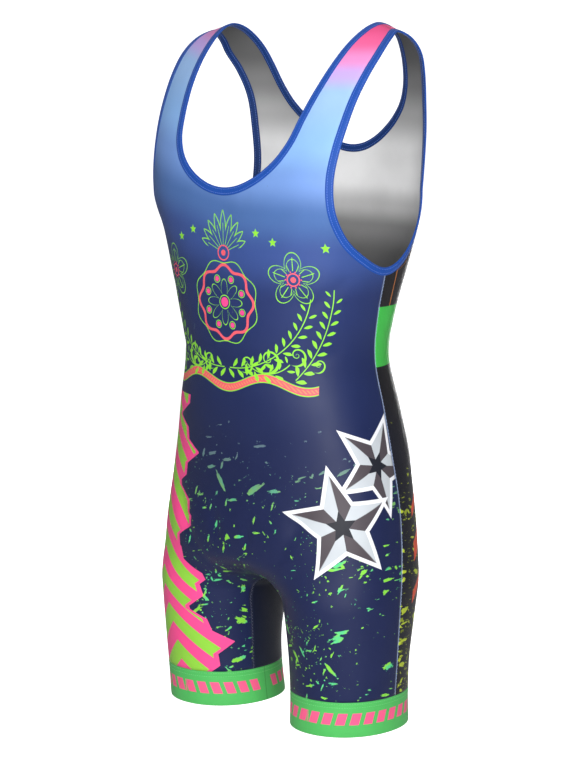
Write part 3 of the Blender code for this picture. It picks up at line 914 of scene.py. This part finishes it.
FRONT_TONES = (
    # height, colour
    (0.000, "f5558f"),
    (-0.020, "f8669f"),
    (-0.040, "f092cf"),
    (-0.058, "c8acee"),
    (-0.080, "9cc0ee"),
    (-0.140, "88b3e8"),
    (-0.180, "7397d5"),
    (-0.225, "4a6ca6"),
    (-0.270, "384f8d"),
    (-0.330, "243264"),
    (-0.420, "1e2a56"),
    (-0.550, "19224a"),
)
STARS_ON_THIGH = (
    # height, radius, way from the side seam, turn
    (-0.528, 0.056, 0.030, 0.45),
    (-0.598, 0.064, 0.088, -0.12),
)
STAR_RIM = 0.0042
PAINT_TOP = -0.475
PAINT_FADE = 0.09
FRESH_PAINT_TOP = -0.52
FRESH_PAINT_FADE = 0.10
COLUMN_TOP = -0.455
COLUMN_JAGS = (
    # shift, length, depth
    (0.012, 0.083, 0.036),
    (0.020, 0.031, 0.012),
)
ROSETTE_HEIGHT = -0.332
FAN_HEIGHT = -0.272
FLOWER_WAY = 0.100
FLOWER_HEIGHT = -0.300
PIPING_END = -0.80
PIPING_WIDTH = 0.0011
RIBBON_HEIGHT = -0.429
RIBBON_WAVE = 0.112
RIBBON_RISE = 0.0075
RIBBON_END = 0.120
RIBBON_HALF = 0.0044
RIBBON_RIM = 0.0050
HATCH_HALF = 0.0024
HATCH_PITCH = 0.0052
CHEST_SPRAYS = (
    # across and height of the centre of the stem's arc, radius, length, start
    (0.010, -0.300, 0.112, 0.158, 0.05),
    (0.060, -0.376, 0.040, 0.062, 0.75),
    (-0.040, -0.290, 0.190, 0.124, -0.80),
)
CHEST_SCROLLS = (
    # way from the middle, height, radius
    (0.030, -0.404, 0.013),
    (0.062, -0.398, 0.018),
    (0.098, -0.392, 0.014),
    (0.124, -0.404, 0.010),
)
CHEST_STARS = (
    # way from the middle, height, radius
    (0.052, -0.246, 0.0058),
    (0.076, -0.256, 0.0058),
    (0.142, -0.262, 0.0064),
)


def chest_ornament(tree, colour, middle, z):
    """The ornament on the chest: a fan over a rosette between flowers, leaf sprays, curls and a ribbon."""
    apart = abs(middle)
    coral, pink, lime = use(tree, ROSETTE, middle, z - ROSETTE_HEIGHT)
    colour = painted(tree, colour, CORAL, coral)
    colour = painted(tree, colour, HOT_PINK, pink)
    fan = use(tree, FAN, middle, z - FAN_HEIGHT)
    flower = use(tree, FLOWER, apart - FLOWER_WAY, z - FLOWER_HEIGHT)
    for shape in (fan, flower):
        lime = larger(lime, shape[0])
        colour = painted(tree, colour, CORAL, shape[1])
    for centre_u, centre_z, radius, length, start in CHEST_SPRAYS:
        u, v = apart - centre_u, z - centre_z
        angle = u.math("ARCTAN2", v * -1.0) + start
        lime = larger(lime, use(tree, SPRAY, hypot(u, v) - radius, angle * radius, length)[0])
    for across, height, size in CHEST_SCROLLS:
        lime = larger(lime, use(tree, SCROLL, apart - across, z - height, size)[0])
    for across, height, size in CHEST_STARS:
        lime = larger(lime, use(tree, STAR, apart - across, z - height, size, 0.0)[0].printed())
    wave = (apart * (2 * np.pi / RIBBON_WAVE)).math("COSINE") * RIBBON_RISE
    off = abs(z - RIBBON_HEIGHT + wave)
    ends = (RIBBON_END - apart + wave * 0.8).printed()
    ribbon = (RIBBON_HALF - off).printed() * ends
    edge = (PRINT_LINE - abs(off - RIBBON_RIM)).printed() * ends
    hatch = (((apart + z) / HATCH_PITCH).math("FRACT") - 0.5).above(0.0, 0.1)
    hatch = hatch * (HATCH_HALF - off).printed() * ends
    colour = painted(tree, colour, CORAL, ribbon)
    colour = painted(tree, colour, ORANGE, hatch)
    return painted(tree, colour, LIME, larger(lime, edge))


def front_print():
    """The front's print, from the pink straps down to navy, with its ornament, stars and paint."""
    material, tree, shader = cloth("front_cloth_printed")
    middle, side = attribute(tree, "from_middle"), attribute(tree, "from_side")
    source, (x, y, z) = place_on_object(tree)
    # Painted shade: the run of tones sits lower towards the wearer's right, so that side is darker
    painted_shade_drop = larger(0.030 - middle, middle * 0.0) * 0.22
    colour = ramp(tree, z - painted_shade_drop, FRONT_TONES)

    # Flung paint over the hips and thighs, dull at its top and fresh below
    low = down_from(z, PAINT_TOP, PAINT_FADE)
    patches = noise(tree, source, 11.0).above(0.47, 0.12)
    paint, tint = use(tree, PAINT, x, y, z, low * (patches * 0.95 + 0.38))
    fresh = down_from(z, FRESH_PAINT_TOP, FRESH_PAINT_FADE)
    paint_colour = painted(tree, LEAF_GREEN, MINT, tint.above(0.68, 0.4))
    paint_colour = painted(tree, linear("5d7480"), paint_colour, fresh)
    colour = painted(tree, colour, paint_colour, paint)

    # Two faceted stars on the left hip
    left = middle.above(0.0, 1e-4)
    for height, radius, from_seam, turn in STARS_ON_THIGH:
        place = (side - from_seam, z - height)
        inside, light = use(tree, STAR, *place, radius, turn)
        core = use(tree, STAR, *place, radius * 0.30, turn)[0].printed()
        face = painted(tree, linear("4e474d"), linear("c3c9cf"), light)
        face = painted(tree, face, linear("20222c"), core)
        colour = painted(tree, colour, linear("f1f2f8"), inside.above(-STAR_RIM, PRINT_SOFT) * left)
        colour = painted(tree, colour, face, inside.above(0.0005, PRINT_SOFT) * left)

    # A jagged pink column with green chevrons down the right side
    right = (middle * -1.0).above(0.0, 1e-4)
    fall = (z - COLUMN_TOP) * -1.0
    edge = fall * 0.115 + 0.112
    for shift, length, depth in COLUMN_JAGS:
        edge = edge + wave_of(fall + shift, length) * depth
    column = smaller(edge - side, side - (0.055 - fall * 0.10)).printed() * right * fall.printed()
    colour = painted(tree, colour, HOT_PINK, column)
    spine = fall * 0.130 + 0.072
    chevron = wave_of(fall - abs(side - spine) * 0.85, 0.048) - 0.50
    bolt = smaller(chevron * 0.024, edge - side - 0.0068)
    colour = painted(tree, colour, linear("93d644"), bolt.printed() * column)

    colour = chest_ornament(tree, colour, middle, z)
    over_band = (z - PIPING_END).above(0.0, 0.01)
    near_seam = (PIPING_WIDTH - side).above(0.0, 0.0004)
    colour = painted(tree, colour, PALE_BLUE, near_seam * over_band * 0.75)
    knit_finish(tree, shader, colour, side, z)
    return material


# The white unprinted inside: painted light over the neck, painted shade in the hollow and the straps
INSIDE_PAINTED_LIGHT_AND_SHADE = (
    # height, tone
    (0.010, "555555"),
    (-0.035, "626262"),
    (-0.070, "838383"),
    (-0.110, "b4b4b4"),
    (-0.155, "efefef"),
    (-0.195, "fbfbfb"),
    (-0.225, "cfcfcf"),
    (-0.252, "8e8e8e"),
    (-0.285, "6b6b6b"),
    (-0.400, "808080"),
)


def inside_cloth():
    """The unprinted inside of the knit, with painted light and shade in its tone by height."""
    material, tree, shader = cloth("cloth_inside", roughness=0.62)
    _, (x, _, z) = place_on_object(tree)
    # The run of tones by height is painted light and shade over white knit
    knit_finish(tree, shader, ramp(tree, z, INSIDE_PAINTED_LIGHT_AND_SHADE), x, z, strength=0.35)
    return material


def panel_halves(side):
    """Both halves of a panel as grids, with each point's way from its middle and from its side seam."""
    left = panel_rows(side)
    grids, values = [], []
    for sign in (1, -1):
        grid = settle_inner(left * (sign, 1, 1))
        ways = np.array([lengths_along(row) for row in grid])
        ways_out = ways[:, -1:] - ways
        grids.append(grid)
        values.append({"from_middle": sign * (ways + np.abs(grid[:, :1, 0])), "from_side": ways_out})
    return grids, values


def dress(piece, slot, *nodes):
    """A piece rides on the part's one body and stands for its nodes. The slot is not used."""
    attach(piece, "root")
    if nodes:
        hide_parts(*nodes)
    return piece


INSIDE = inside_cloth()
grids, values = panel_halves(-1)
front_panel = shell("front_panel_cloth", grids, [front_print(), INSIDE], values)
dress(front_panel, "front_cloth", "front_panel")

# Back panel
# The same knit, cut higher between the shoulders, with a charcoal ground. A green block runs back from
# each side seam with a thin orange line over it, orange chevrons cross the seat, and flung paint covers
# the seat and the thighs.

BACK_TONES = (
    # height, colour
    (0.000, "f0508c"),
    (-0.030, "f25c9a"),
    (-0.062, "c98fd8"),
    (-0.095, "8fa8dc"),
    (-0.135, "56688f"),
    (-0.185, "383a46"),
    (-0.250, "201e21"),
    (-0.440, "19181e"),
    (-0.500, "181925"),
)
BLOCK_GREEN = linear("43c04e")
BLOCK_MIDDLE = -0.3755
BLOCK_HALF = 0.0375
BLOCK_END = 0.078
BLOCK_SLANT_FROM = -0.375
BLOCK_SLANT = 0.25
SMALL_BLOCK_HALF = 0.0130
SMALL_BLOCK_START = 0.084
SMALL_BLOCK_END = 0.100
ORANGE_LINE_END = -0.338
ORANGE_LINE_WAY = 0.0250
ORANGE_LINE_HALF = 0.0008
BACK_PAINT_TOP = -0.52
BACK_PAINT_FADE = 0.12
CHEVRON_HEIGHT = -0.5205
CHEVRON_PITCH = 0.052
CHEVRON_SLOPE = 0.62


def back_print():
    """The back's print: charcoal under pink straps, green blocks, orange chevrons and dense paint."""
    material, tree, shader = cloth("back_cloth_printed")
    middle, side = attribute(tree, "from_middle"), attribute(tree, "from_side")
    _, (x, y, z) = place_on_object(tree)
    colour = ramp(tree, z, BACK_TONES)

    # Flung paint in two sizes over the seat and thighs
    low = down_from(z, BACK_PAINT_TOP, BACK_PAINT_FADE)
    paint, tint = use(tree, PAINT, x, y, z, low * 1.7)
    second, _ = use(tree, PAINT, x * 1.6 + 0.31, y * 1.6, z * 1.6, low * 1.5)
    dull = painted(tree, linear("6f7a1e"), linear("9aa82c"), tint.above(0.5, 0.4))
    colour = painted(tree, colour, dull, second)
    colour = painted(tree, colour, linear("b7c936"), paint)

    # A green block with a smaller one beside it at the waist, and a thin orange line above them
    slant = side - (z - BLOCK_SLANT_FROM) * BLOCK_SLANT
    off = abs(z - BLOCK_MIDDLE)
    wide = smaller(BLOCK_HALF - off, BLOCK_END - slant)
    small = smaller(smaller(SMALL_BLOCK_HALF - off, SMALL_BLOCK_END - slant), slant - SMALL_BLOCK_START)
    for block in (wide, small):
        colour = painted(tree, colour, BLOCK_GREEN, block.printed())
    line = (ORANGE_LINE_HALF - abs(side - ORANGE_LINE_WAY - (z + 0.29) * 0.05)).printed()
    colour = painted(tree, colour, linear("c9793a"), line * (z - ORANGE_LINE_END).printed())

    # Orange chevrons over the seat
    rise = z + abs(middle) * CHEVRON_SLOPE
    bar = (wave_of(rise, CHEVRON_PITCH) - 0.56).above(0.0, 0.012)
    bar = bar * (CHEVRON_PITCH - abs(rise - CHEVRON_HEIGHT)).printed()
    colour = painted(tree, colour, linear("e2502f"), bar * (side - 0.030).printed())
    near_seam = (side * -1.0 + 0.0008).above(0.0, 0.0004)
    colour = painted(tree, colour, PALE_BLUE, near_seam * 0.35)
    knit_finish(tree, shader, colour, side, z)
    return material


grids, values = panel_halves(1)
back_panel = shell("back_panel_cloth", grids, [back_print(), INSIDE], values)
dress(back_panel, "back_cloth", "back_panel")
shoulder_line = grids[0][-1]

# Crotch gusset
# A strip of the same knit, left plain navy, sewn between the front and the back from one thigh band
# through the crotch to the other.

GUSSET_ROWS = 64


def gusset_rows():
    """The rows of the gusset's left half, from the crotch to the band."""
    fine = np.linspace(0, 1, EDGE_POINTS)
    middle = lengths_along(gusset_points(fine, 0 * fine))
    places = np.interp(np.linspace(0, middle[-1], GUSSET_ROWS), middle, fine)
    front = at(moved_seam(-1, -SEAM_GAP / 2), places * (EDGE_POINTS - 1))
    back = at(moved_seam(1, -SEAM_GAP / 2), places * (EDGE_POINTS - 1))
    rows = []
    for place, start, end in zip(places, front, back):
        to_front, to_back = smooth_columns(GUSSET_SEAMS, np.array([place]))[0]
        row = gusset_points(np.full(FINE, place), np.linspace(-to_front, to_back, FINE))
        row[0], row[-1] = start, end
        rows.append(evenly(row, PANEL_COLUMNS // 3 + 1))
    rows[0][:, 0] = 0.0
    return np.array(rows)


def gusset_knit():
    material, tree, shader = cloth("gusset_cloth_plain")
    _, (_, y, z) = place_on_object(tree)
    knit_finish(tree, shader, linear("111830"), y, z)
    return material


left_gusset = gusset_rows()
gusset = shell("crotch_gusset_cloth", [left_gusset, left_gusset * MIRRORED], [gusset_knit(), INSIDE])
dress(gusset, "gusset_cloth", "crotch_gusset")

# Neck and armhole bindings
# A royal blue stretch tape folded over each raw edge, so that it grips the cloth from both sides, and
# sewn down with two rows of stitches. It stands a little proud and swells between the rows.

# The tape's section, in millimetres: the way from the free edge, and the height over the cloth's face
BINDING_SECTION = (
    (0.00, -0.60),
    (0.12, -0.14),
    (0.70, 0.36),
    (1.60, 0.49),
    (2.30, 0.33),
    (3.00, 0.49),
    (5.00, 0.62),
    (6.90, 0.49),
    (7.60, 0.33),
    (8.30, 0.48),
    (9.50, 0.44),
    (10.00, 0.24),
    (9.90, 0.04),
    (5.00, 0.04),
    (1.30, 0.02),
    (0.62, -0.30),
    (0.62, -0.90),
    (1.30, -1.24),
    (5.00, -1.24),
    (9.90, -1.24),
    (10.00, -1.50),
    (9.50, -1.80),
    (5.00, -1.92),
    (0.70, -1.62),
    (0.12, -1.06),
)
BINDING_STEP = 0.0026
INNER_LEAF_UNDER = -1.2
TAPE_CUT = 0.92
STITCH_ROWS_AT = (0.0023, 0.0076)


def tube(name, rings, material, values):
    """A closed piece from its rings of points, joined end to end."""
    mesh = bpy.data.meshes.new(name)
    model = bmesh.new()
    kept = {key: model.verts.layers.float.new(key) for key in values}
    points = [[model.verts.new(point) for point in ring] for ring in rings]
    for key, layer in kept.items():
        for point, value in zip(sum(points, []), values[key].ravel()):
            point[layer] = value
    for ring, following in zip(points, points[1:] + points[:1]):
        for k in range(len(ring)):
            after = (k + 1) % len(ring)
            model.faces.new((ring[k], ring[after], following[after], following[k]))
    bmesh.ops.recalc_face_normals(model, faces=model.faces)
    model.to_mesh(mesh)
    model.free()
    return placed(name, mesh, [material])


def binding_rings(edge, towards):
    """The rings of a binding along a closed edge, and each point's way along, across and inside."""
    lengths = lengths_along(edge)
    count = int(lengths[-1] / BINDING_STEP)
    ways_along = np.linspace(0, lengths[-1], count + 1)[:-1]
    places = np.interp(ways_along, lengths, np.arange(len(edge)))
    rings = []
    for way, height in BINDING_SECTION:
        line = moved_across(edge, towards * way / 1000)[:-1]
        ring = line + height / 1000 * normals_at(line)
        rings.append(at(np.concatenate([ring, ring[:1]]), places))
    values = {
        "along": np.repeat(ways_along[:, None], len(rings), axis=1),
        "across": np.tile([way / 1000 for way, _ in BINDING_SECTION], (count, 1)),
        "inner": np.tile([float(height < INNER_LEAF_UNDER) for _, height in BINDING_SECTION], (count, 1)),
    }
    return np.stack(rings, axis=1), values


def tape_finish(name, code, painted_shade_code):
    """A firm knitted tape, ribbed along its length, with painted shade darkening the leaf inside the
    garment.
    """
    material, tree, shader = cloth(name, roughness=0.50, sheen=0.08)
    # Painted shade darkens the leaf inside the garment
    colour = painted(tree, linear(code), linear(painted_shade_code), attribute(tree, "inner"))
    knit_finish(tree, shader, colour, attribute(tree, "across"), attribute(tree, "along"), strength=0.4)
    return material


NECK = neck_edge()
ARMHOLE, _ = armhole_edge()
# The second colour is painted shade on the tape's leaf inside the garment
BINDING_TAPE = tape_finish("binding_tape", "174ba3", "0c3474")
edges = (
    ("neck_binding", NECK, 1, np.ones(3)),
    ("left_armhole_binding", ARMHOLE, -1, np.ones(3)),
    ("right_armhole_binding", ARMHOLE, -1, MIRRORED),
)
for name, edge, towards, sides in edges:
    rings, values = binding_rings(edge, towards)
    binding = tube(name + "_tape", rings * sides, BINDING_TAPE, values)
    dress(binding, "binding", name)
    length = float(lengths_along(edge)[-1])
    length * TAPE_CUT

# Thigh bands
# A firm green stretch band, 45 mm deep, folded double and sewn to the end of each leg. A row of plain
# pink blocks is printed round it, and a short seam joins its ends on the inner thigh.

HEM_HEIGHT = -0.860
CUFF_COLUMNS = 180
BLOCKS = 26
BLOCK_HEIGHT = 0.0150
BLOCK_MIDDLE_UP = 0.0235
BLOCK_LEAN = 0.30
BAND_JOIN = 0.75

# The band's section, in millimetres: the height over the hem, and the height over the figure
CUFF_SECTION = (
    (0.00, -1.10),
    (0.15, -0.60),
    (0.60, -0.18),
    (1.60, 0.00),
    (8.00, 0.00),
    (16.0, 0.00),
    (24.0, 0.00),
    (32.0, 0.00),
    (37.0, 0.00),
    (38.2, -0.16),
    (39.4, 0.00),
    (41.6, 0.00),
    (42.6, -0.16),
    (43.6, 0.00),
    (44.5, -0.14),
    (44.8, -0.55),
    (44.4, -1.03),
    (41.0, -1.06),
    (24.0, -1.06),
    (1.90, -1.06),
    (1.30, -1.10),
    (1.90, -1.14),
    (24.0, -1.14),
    (41.0, -1.14),
    (44.4, -1.17),
    (44.7, -1.60),
    (44.2, -2.10),
    (42.0, -2.20),
    (24.0, -2.20),
    (1.60, -2.20),
    (0.60, -2.02),
    (0.15, -1.60),
)


def round_the_leg(columns, up):
    """Points round the left leg at a height over the hem. columns gives their turns."""
    outward = np.column_stack([np.sin(columns), -np.cos(columns), 0 * columns])
    return out_from(middle_of_leg(np.full(len(columns), HEM_HEIGHT + up)), outward)


def cuff_rings():
    """The rings of the left band, one to each column round the leg."""
    turn = np.linspace(0, 2 * np.pi, CUFF_COLUMNS, endpoint=False)
    rows = []
    for up, proud in CUFF_SECTION:
        row = round_the_leg(turn, up / 1000)
        rows.append(row + proud / 1000 * unit(normals_at(row) * (1, 1, 0)))
    around = lengths_along(np.concatenate([rows[4], rows[4][:1]]))
    along = np.repeat(around[:-1, None], len(rows), axis=1)
    up = np.tile([up / 1000 for up, _ in CUFF_SECTION], (CUFF_COLUMNS, 1))
    return np.stack(rows, axis=1), {"along": along, "across": up}, float(around[-1])


def band_finish(around):
    """Green band with the row of pink blocks, and a dark line where its ends are joined."""
    material, tree, shader = cloth("cuff_band_green", roughness=0.50, sheen=0.06)
    along, up = attribute(tree, "along"), attribute(tree, "across")
    lean = along - (up - BLOCK_MIDDLE_UP) * BLOCK_LEAN
    cell = (lean / (around / BLOCKS)).math("FRACT")
    block = smaller(0.34 - abs(cell - 0.5), (BLOCK_HEIGHT / 2 - abs(up - BLOCK_MIDDLE_UP)) * 40.0)
    from_join = abs(along - around * BAND_JOIN)
    mask = block.above(0.0, 0.02) * (from_join - 0.0085).printed()
    colour = painted(tree, linear("52bd60"), linear("f8608f"), mask)
    colour = painted(tree, colour, linear("2f7f3c"), (0.0005 - from_join).above(0.0, 0.0004) * 0.8)
    knit_finish(tree, shader, colour, along, up, strength=0.35)
    return material


rings, values, around = cuff_rings()
BAND = band_finish(around)
for name, sides in (("left_cuff", np.ones(3)), ("right_cuff", MIRRORED)):
    cuff = tube(name + "_band", rings * sides, BAND, values)
    dress(cuff, "cuff_band", name)

# Sewing
# Two rows of lockstitch hold each binding, two more hold each band, and a flat zigzag crosses the side
# seams, the gusset's seams and the short seams on the shoulders.

# One stitch: the place along its length and the thickness of each of its rings, as shares
STITCH_RINGS = ((-0.50, 0.40), (-0.36, 0.95), (0.0, 1.0), (0.36, 0.95), (0.50, 0.40))
STITCH_SIDES = 6
STITCH_FLATNESS = 0.8
STITCH_PITCH = 0.0031
STITCH_LENGTH = 0.0024
STITCH_RADIUS = 0.00024
STITCH_HEIGHTS = (0.00036, -0.00196)
CUFF_STITCH_ROWS_AT = (0.0382, 0.0426)
CUFF_STITCH_HEIGHT = 0.00002
ZIGZAG_PITCH = 0.0021
ZIGZAG_HALF_WIDTH = 0.0012
ZIGZAG_HEIGHT = 0.00012
ZIGZAG_RADIUS = 0.00020
SIDE_SEAM_TOP = -0.300
FUZZ = (0.9, 0.9, 0.9, 1.0)


def stitches(middles, alongs, normals, length, radius):
    """Points and faces of a row of short stitches."""
    turn = np.linspace(0, 2 * np.pi, STITCH_SIDES, endpoint=False)
    beside = unit(np.cross(alongs, normals))
    points = []
    for place, thick in STITCH_RINGS:
        for angle in turn:
            out = np.cos(angle) * beside + STITCH_FLATNESS * np.sin(angle) * normals
            points.append(middles + place * length * alongs + thick * radius * out)
    faces = []
    for low in range(0, (len(STITCH_RINGS) - 1) * STITCH_SIDES, STITCH_SIDES):
        for k in range(STITCH_SIDES):
            after = (k + 1) % STITCH_SIDES
            faces.append((low + k, low + after, low + STITCH_SIDES + after, low + STITCH_SIDES + k))
    last = (len(STITCH_RINGS) - 1) * STITCH_SIDES
    faces.append(tuple(range(STITCH_SIDES - 1, -1, -1)))
    faces.append(tuple(last + k for k in range(STITCH_SIDES)))
    return np.stack(points, axis=1), faces


def thread_piece(name, rows, length, radius, material, slot):
    """One piece of sewing from rows of (middles, alongs, normals)."""
    points, faces, count = [], [], 0
    for row in rows:
        row_points, row_faces = stitches(*row, length, radius)
        size = row_points.shape[1]
        for number in range(len(row_points)):
            faces += [tuple(count + number * size + k for k in face) for face in row_faces]
        points.append(row_points.reshape(-1, 3))
        count += len(row_points) * size
    mesh = bpy.data.meshes.new(name)
    mesh.from_pydata(np.concatenate(points).tolist(), [], faces)
    model = bmesh.new()
    model.from_mesh(mesh)
    bmesh.ops.recalc_face_normals(model, faces=model.faces)
    model.to_mesh(mesh)
    model.free()
    return dress(placed(name, mesh, [material]), slot)


def row_along(line, height, pitch):
    """Middles, directions and normals of stitches along a line, at a height over the figure."""
    count = int(lengths_along(line)[-1] / pitch)
    fine = evenly(line, 2 * count + 1)
    middles = fine[1::2]
    normals = normals_at(middles)
    return middles + height * normals, unit(fine[2::2] - fine[:-1:2]), normals


def zigzag(line):
    """Middles, directions and normals of stitches that cross a line to and fro, and their length."""
    count = int(lengths_along(line)[-1] / ZIGZAG_PITCH)
    fine = evenly(line, count + 1)
    signs = np.where(np.arange(count + 1) % 2 == 0, 1.0, -1.0)[:, None]
    ends = fine + signs * ZIGZAG_HALF_WIDTH * directions_across(fine)
    middles = (ends[1:] + ends[:-1]) / 2
    alongs = ends[1:] - ends[:-1]
    normals = normals_at(middles)
    length = float(np.mean(np.linalg.norm(alongs, axis=1)))
    return (middles + ZIGZAG_HEIGHT * normals, unit(alongs), normals), length


def mirrored(row):
    return tuple(part * MIRRORED for part in row)


def thread(name, code):
    """A twisted thread, a little fuzzy."""
    material, tree, shader = cloth(name, roughness=0.42, sheen=0.25)
    source, _ = place_on_object(tree)
    twist = noise(tree, source, 900.0)
    feed(tree, shader.inputs["Base Color"], painted(tree, linear(code), FUZZ, twist * 0.18))
    bump(tree, shader, twist, 0.3, 0.0001)
    return material


BLUE_THREAD = thread("blue_thread", "3468cc")
for name, edge, towards, sides in edges:
    rows = []
    for way in STITCH_ROWS_AT:
        line = moved_across(edge, towards * way)
        for height in STITCH_HEIGHTS:
            rows.append([part * sides for part in row_along(line, height, STITCH_PITCH)])
    thread_piece(name + "_stitches", rows, STITCH_LENGTH, STITCH_RADIUS, BLUE_THREAD, "binding")

seam_heights = np.linspace(CUFF_TOP + 0.001, SIDE_SEAM_TOP, 300)
zigzags = (
    ("side_seam_stitches", [side_seam(seam_heights, 0.0)], thread("pale_thread", "8fa6d4"), "front_cloth"),
    ("shoulder_seam_stitches", [shoulder_line], thread("pink_thread", "ee5f97"), "back_cloth"),
    (
        "gusset_seam_stitches",
        [moved_seam(-1, 0.0), moved_seam(1, 0.0)],
        thread("dark_thread", "2b3866"),
        "gusset_cloth",
    ),
)
for name, lines, material, slot in zigzags:
    rows = []
    for line in lines:
        row, length = zigzag(line)
        rows += [row, mirrored(row)]
    thread_piece(name, rows, length, ZIGZAG_RADIUS, material, slot)

rows = []
for up in CUFF_STITCH_ROWS_AT:
    line = round_the_leg(np.linspace(0, 2 * np.pi, 2 * CUFF_COLUMNS + 1), up)
    row = row_along(line, CUFF_STITCH_HEIGHT, STITCH_PITCH)
    rows += [row, mirrored(row)]
GREEN_THREAD = thread("green_thread", "58cf6a")
thread_piece("cuff_stitches", rows, STITCH_LENGTH, STITCH_RADIUS, GREEN_THREAD, "cuff_band")

# Stage, light and camera
# A pale sweep of paper stands behind and under the garment. The camera looks from the wearer's left
# front, a little from above, as in the photograph.

FLOOR_HEIGHT = -1.02
SWEEP_HALF_WIDTH = 6.0
SWEEP_BACK = 3.2
SWEEP_FRONT = -4.0
SWEEP_RADIUS = 1.2
SWEEP_TOP = 4.0
PAPER_TONE = 0.60
PAPER_GLOW = 1.00
SKY_GLOW = 0.90
SKY_LIGHT = 0.14
WHITE = (1.0, 1.0, 1.0, 1.0)
CAMERA_AZIMUTH = np.radians(42.0)

profile = [(SWEEP_FRONT, FLOOR_HEIGHT)]
for turn in np.linspace(-np.pi / 2, 0, 17):
    rise = SWEEP_RADIUS * (1 + np.sin(turn))
    profile.append((SWEEP_BACK + SWEEP_RADIUS * np.cos(turn), FLOOR_HEIGHT + rise))
profile.append((SWEEP_BACK + SWEEP_RADIUS, SWEEP_TOP))
sin_a, cos_a = float(np.sin(CAMERA_AZIMUTH)), float(np.cos(CAMERA_AZIMUTH))
points = []
for away, height in profile:
    for across in (-SWEEP_HALF_WIDTH, SWEEP_HALF_WIDTH):
        points.append((across * cos_a - away * sin_a, across * sin_a + away * cos_a, height))
faces = [(2 * k, 2 * k + 1, 2 * k + 3, 2 * k + 2) for k in range(len(profile) - 1)]
mesh = bpy.data.meshes.new("paper_sweep")
mesh.from_pydata(points, [], faces)


def seen_by_camera(tree):
    """1 where the camera looks straight at the surface and 0 for the light that it throws."""
    return Wire(tree, node(tree, "LightPath").outputs["Is Camera Ray"])


paper = bpy.data.materials.new("paper")
paper.use_nodes = True
shader = paper.node_tree.nodes["Principled BSDF"]
shader.inputs["Base Color"].default_value = (PAPER_TONE, PAPER_TONE, PAPER_TONE, 1.0)
shader.inputs["Roughness"].default_value = 0.9
shader.inputs["Emission Color"].default_value = WHITE
feed(paper.node_tree, shader.inputs["Emission Strength"], seen_by_camera(paper.node_tree) * PAPER_GLOW)
placed("paper_sweep", mesh, [paper])

world = bpy.data.worlds.new("soft_studio")
world.use_nodes = True
sky = world.node_tree.nodes["Background"]
sky.inputs["Color"].default_value = WHITE
feed(world.node_tree, sky.inputs["Strength"], seen_by_camera(world.node_tree) * SKY_GLOW + SKY_LIGHT)
bpy.context.scene.world = world
bpy.context.scene.view_settings.view_transform = "Standard"


def turn_to(thing, place, target):
    """Puts a light or camera at a place, turned to a target."""
    thing.location = place
    thing.rotation_euler = (Vector(target) - Vector(place)).to_track_quat("-Z", "Y").to_euler()
    bpy.context.scene.collection.objects.link(thing)


LIGHTS = (
    # name, place, target, size, power
    ("key", (1.75, -1.30, 0.05), (0.0, 0.0, -0.30), 0.9, 42.0),
    ("front", (0.75, -2.30, 0.10), (0.0, 0.0, -0.30), 1.0, 20.0),
    ("top", (0.2, -0.6, 1.9), (0.0, 0.0, -0.10), 1.2, 12.0),
    ("rear", (-1.4, 2.2, -0.25), (0.0, 0.0, -0.45), 1.2, 46.0),
)
for name, place, target, size, power in LIGHTS:
    data = bpy.data.lights.new(name, "AREA")
    data.size = size
    data.energy = power
    turn_to(bpy.data.objects.new(name, data), place, target)

CAMERA_DISTANCE = 2.9
CAMERA_HEIGHT = -0.02
TARGET_HEIGHT = -0.44
FOCAL_PIXELS = 2335.0
PICTURE_HEIGHT = 768
SENSOR = 36.0
VIEW_MIDDLE_ROW = 380.0
camera_data = bpy.data.cameras.new("camera")
camera_data.sensor_width = SENSOR
camera_data.lens = FOCAL_PIXELS * SENSOR / PICTURE_HEIGHT
camera_data.shift_y = (VIEW_MIDDLE_ROW - PICTURE_HEIGHT / 2) / PICTURE_HEIGHT
camera = bpy.data.objects.new("camera", camera_data)
turn_to(camera, (sin_a * CAMERA_DISTANCE, -cos_a * CAMERA_DISTANCE, CAMERA_HEIGHT), (0, 0, TARGET_HEIGHT))
bpy.context.scene.camera = camera
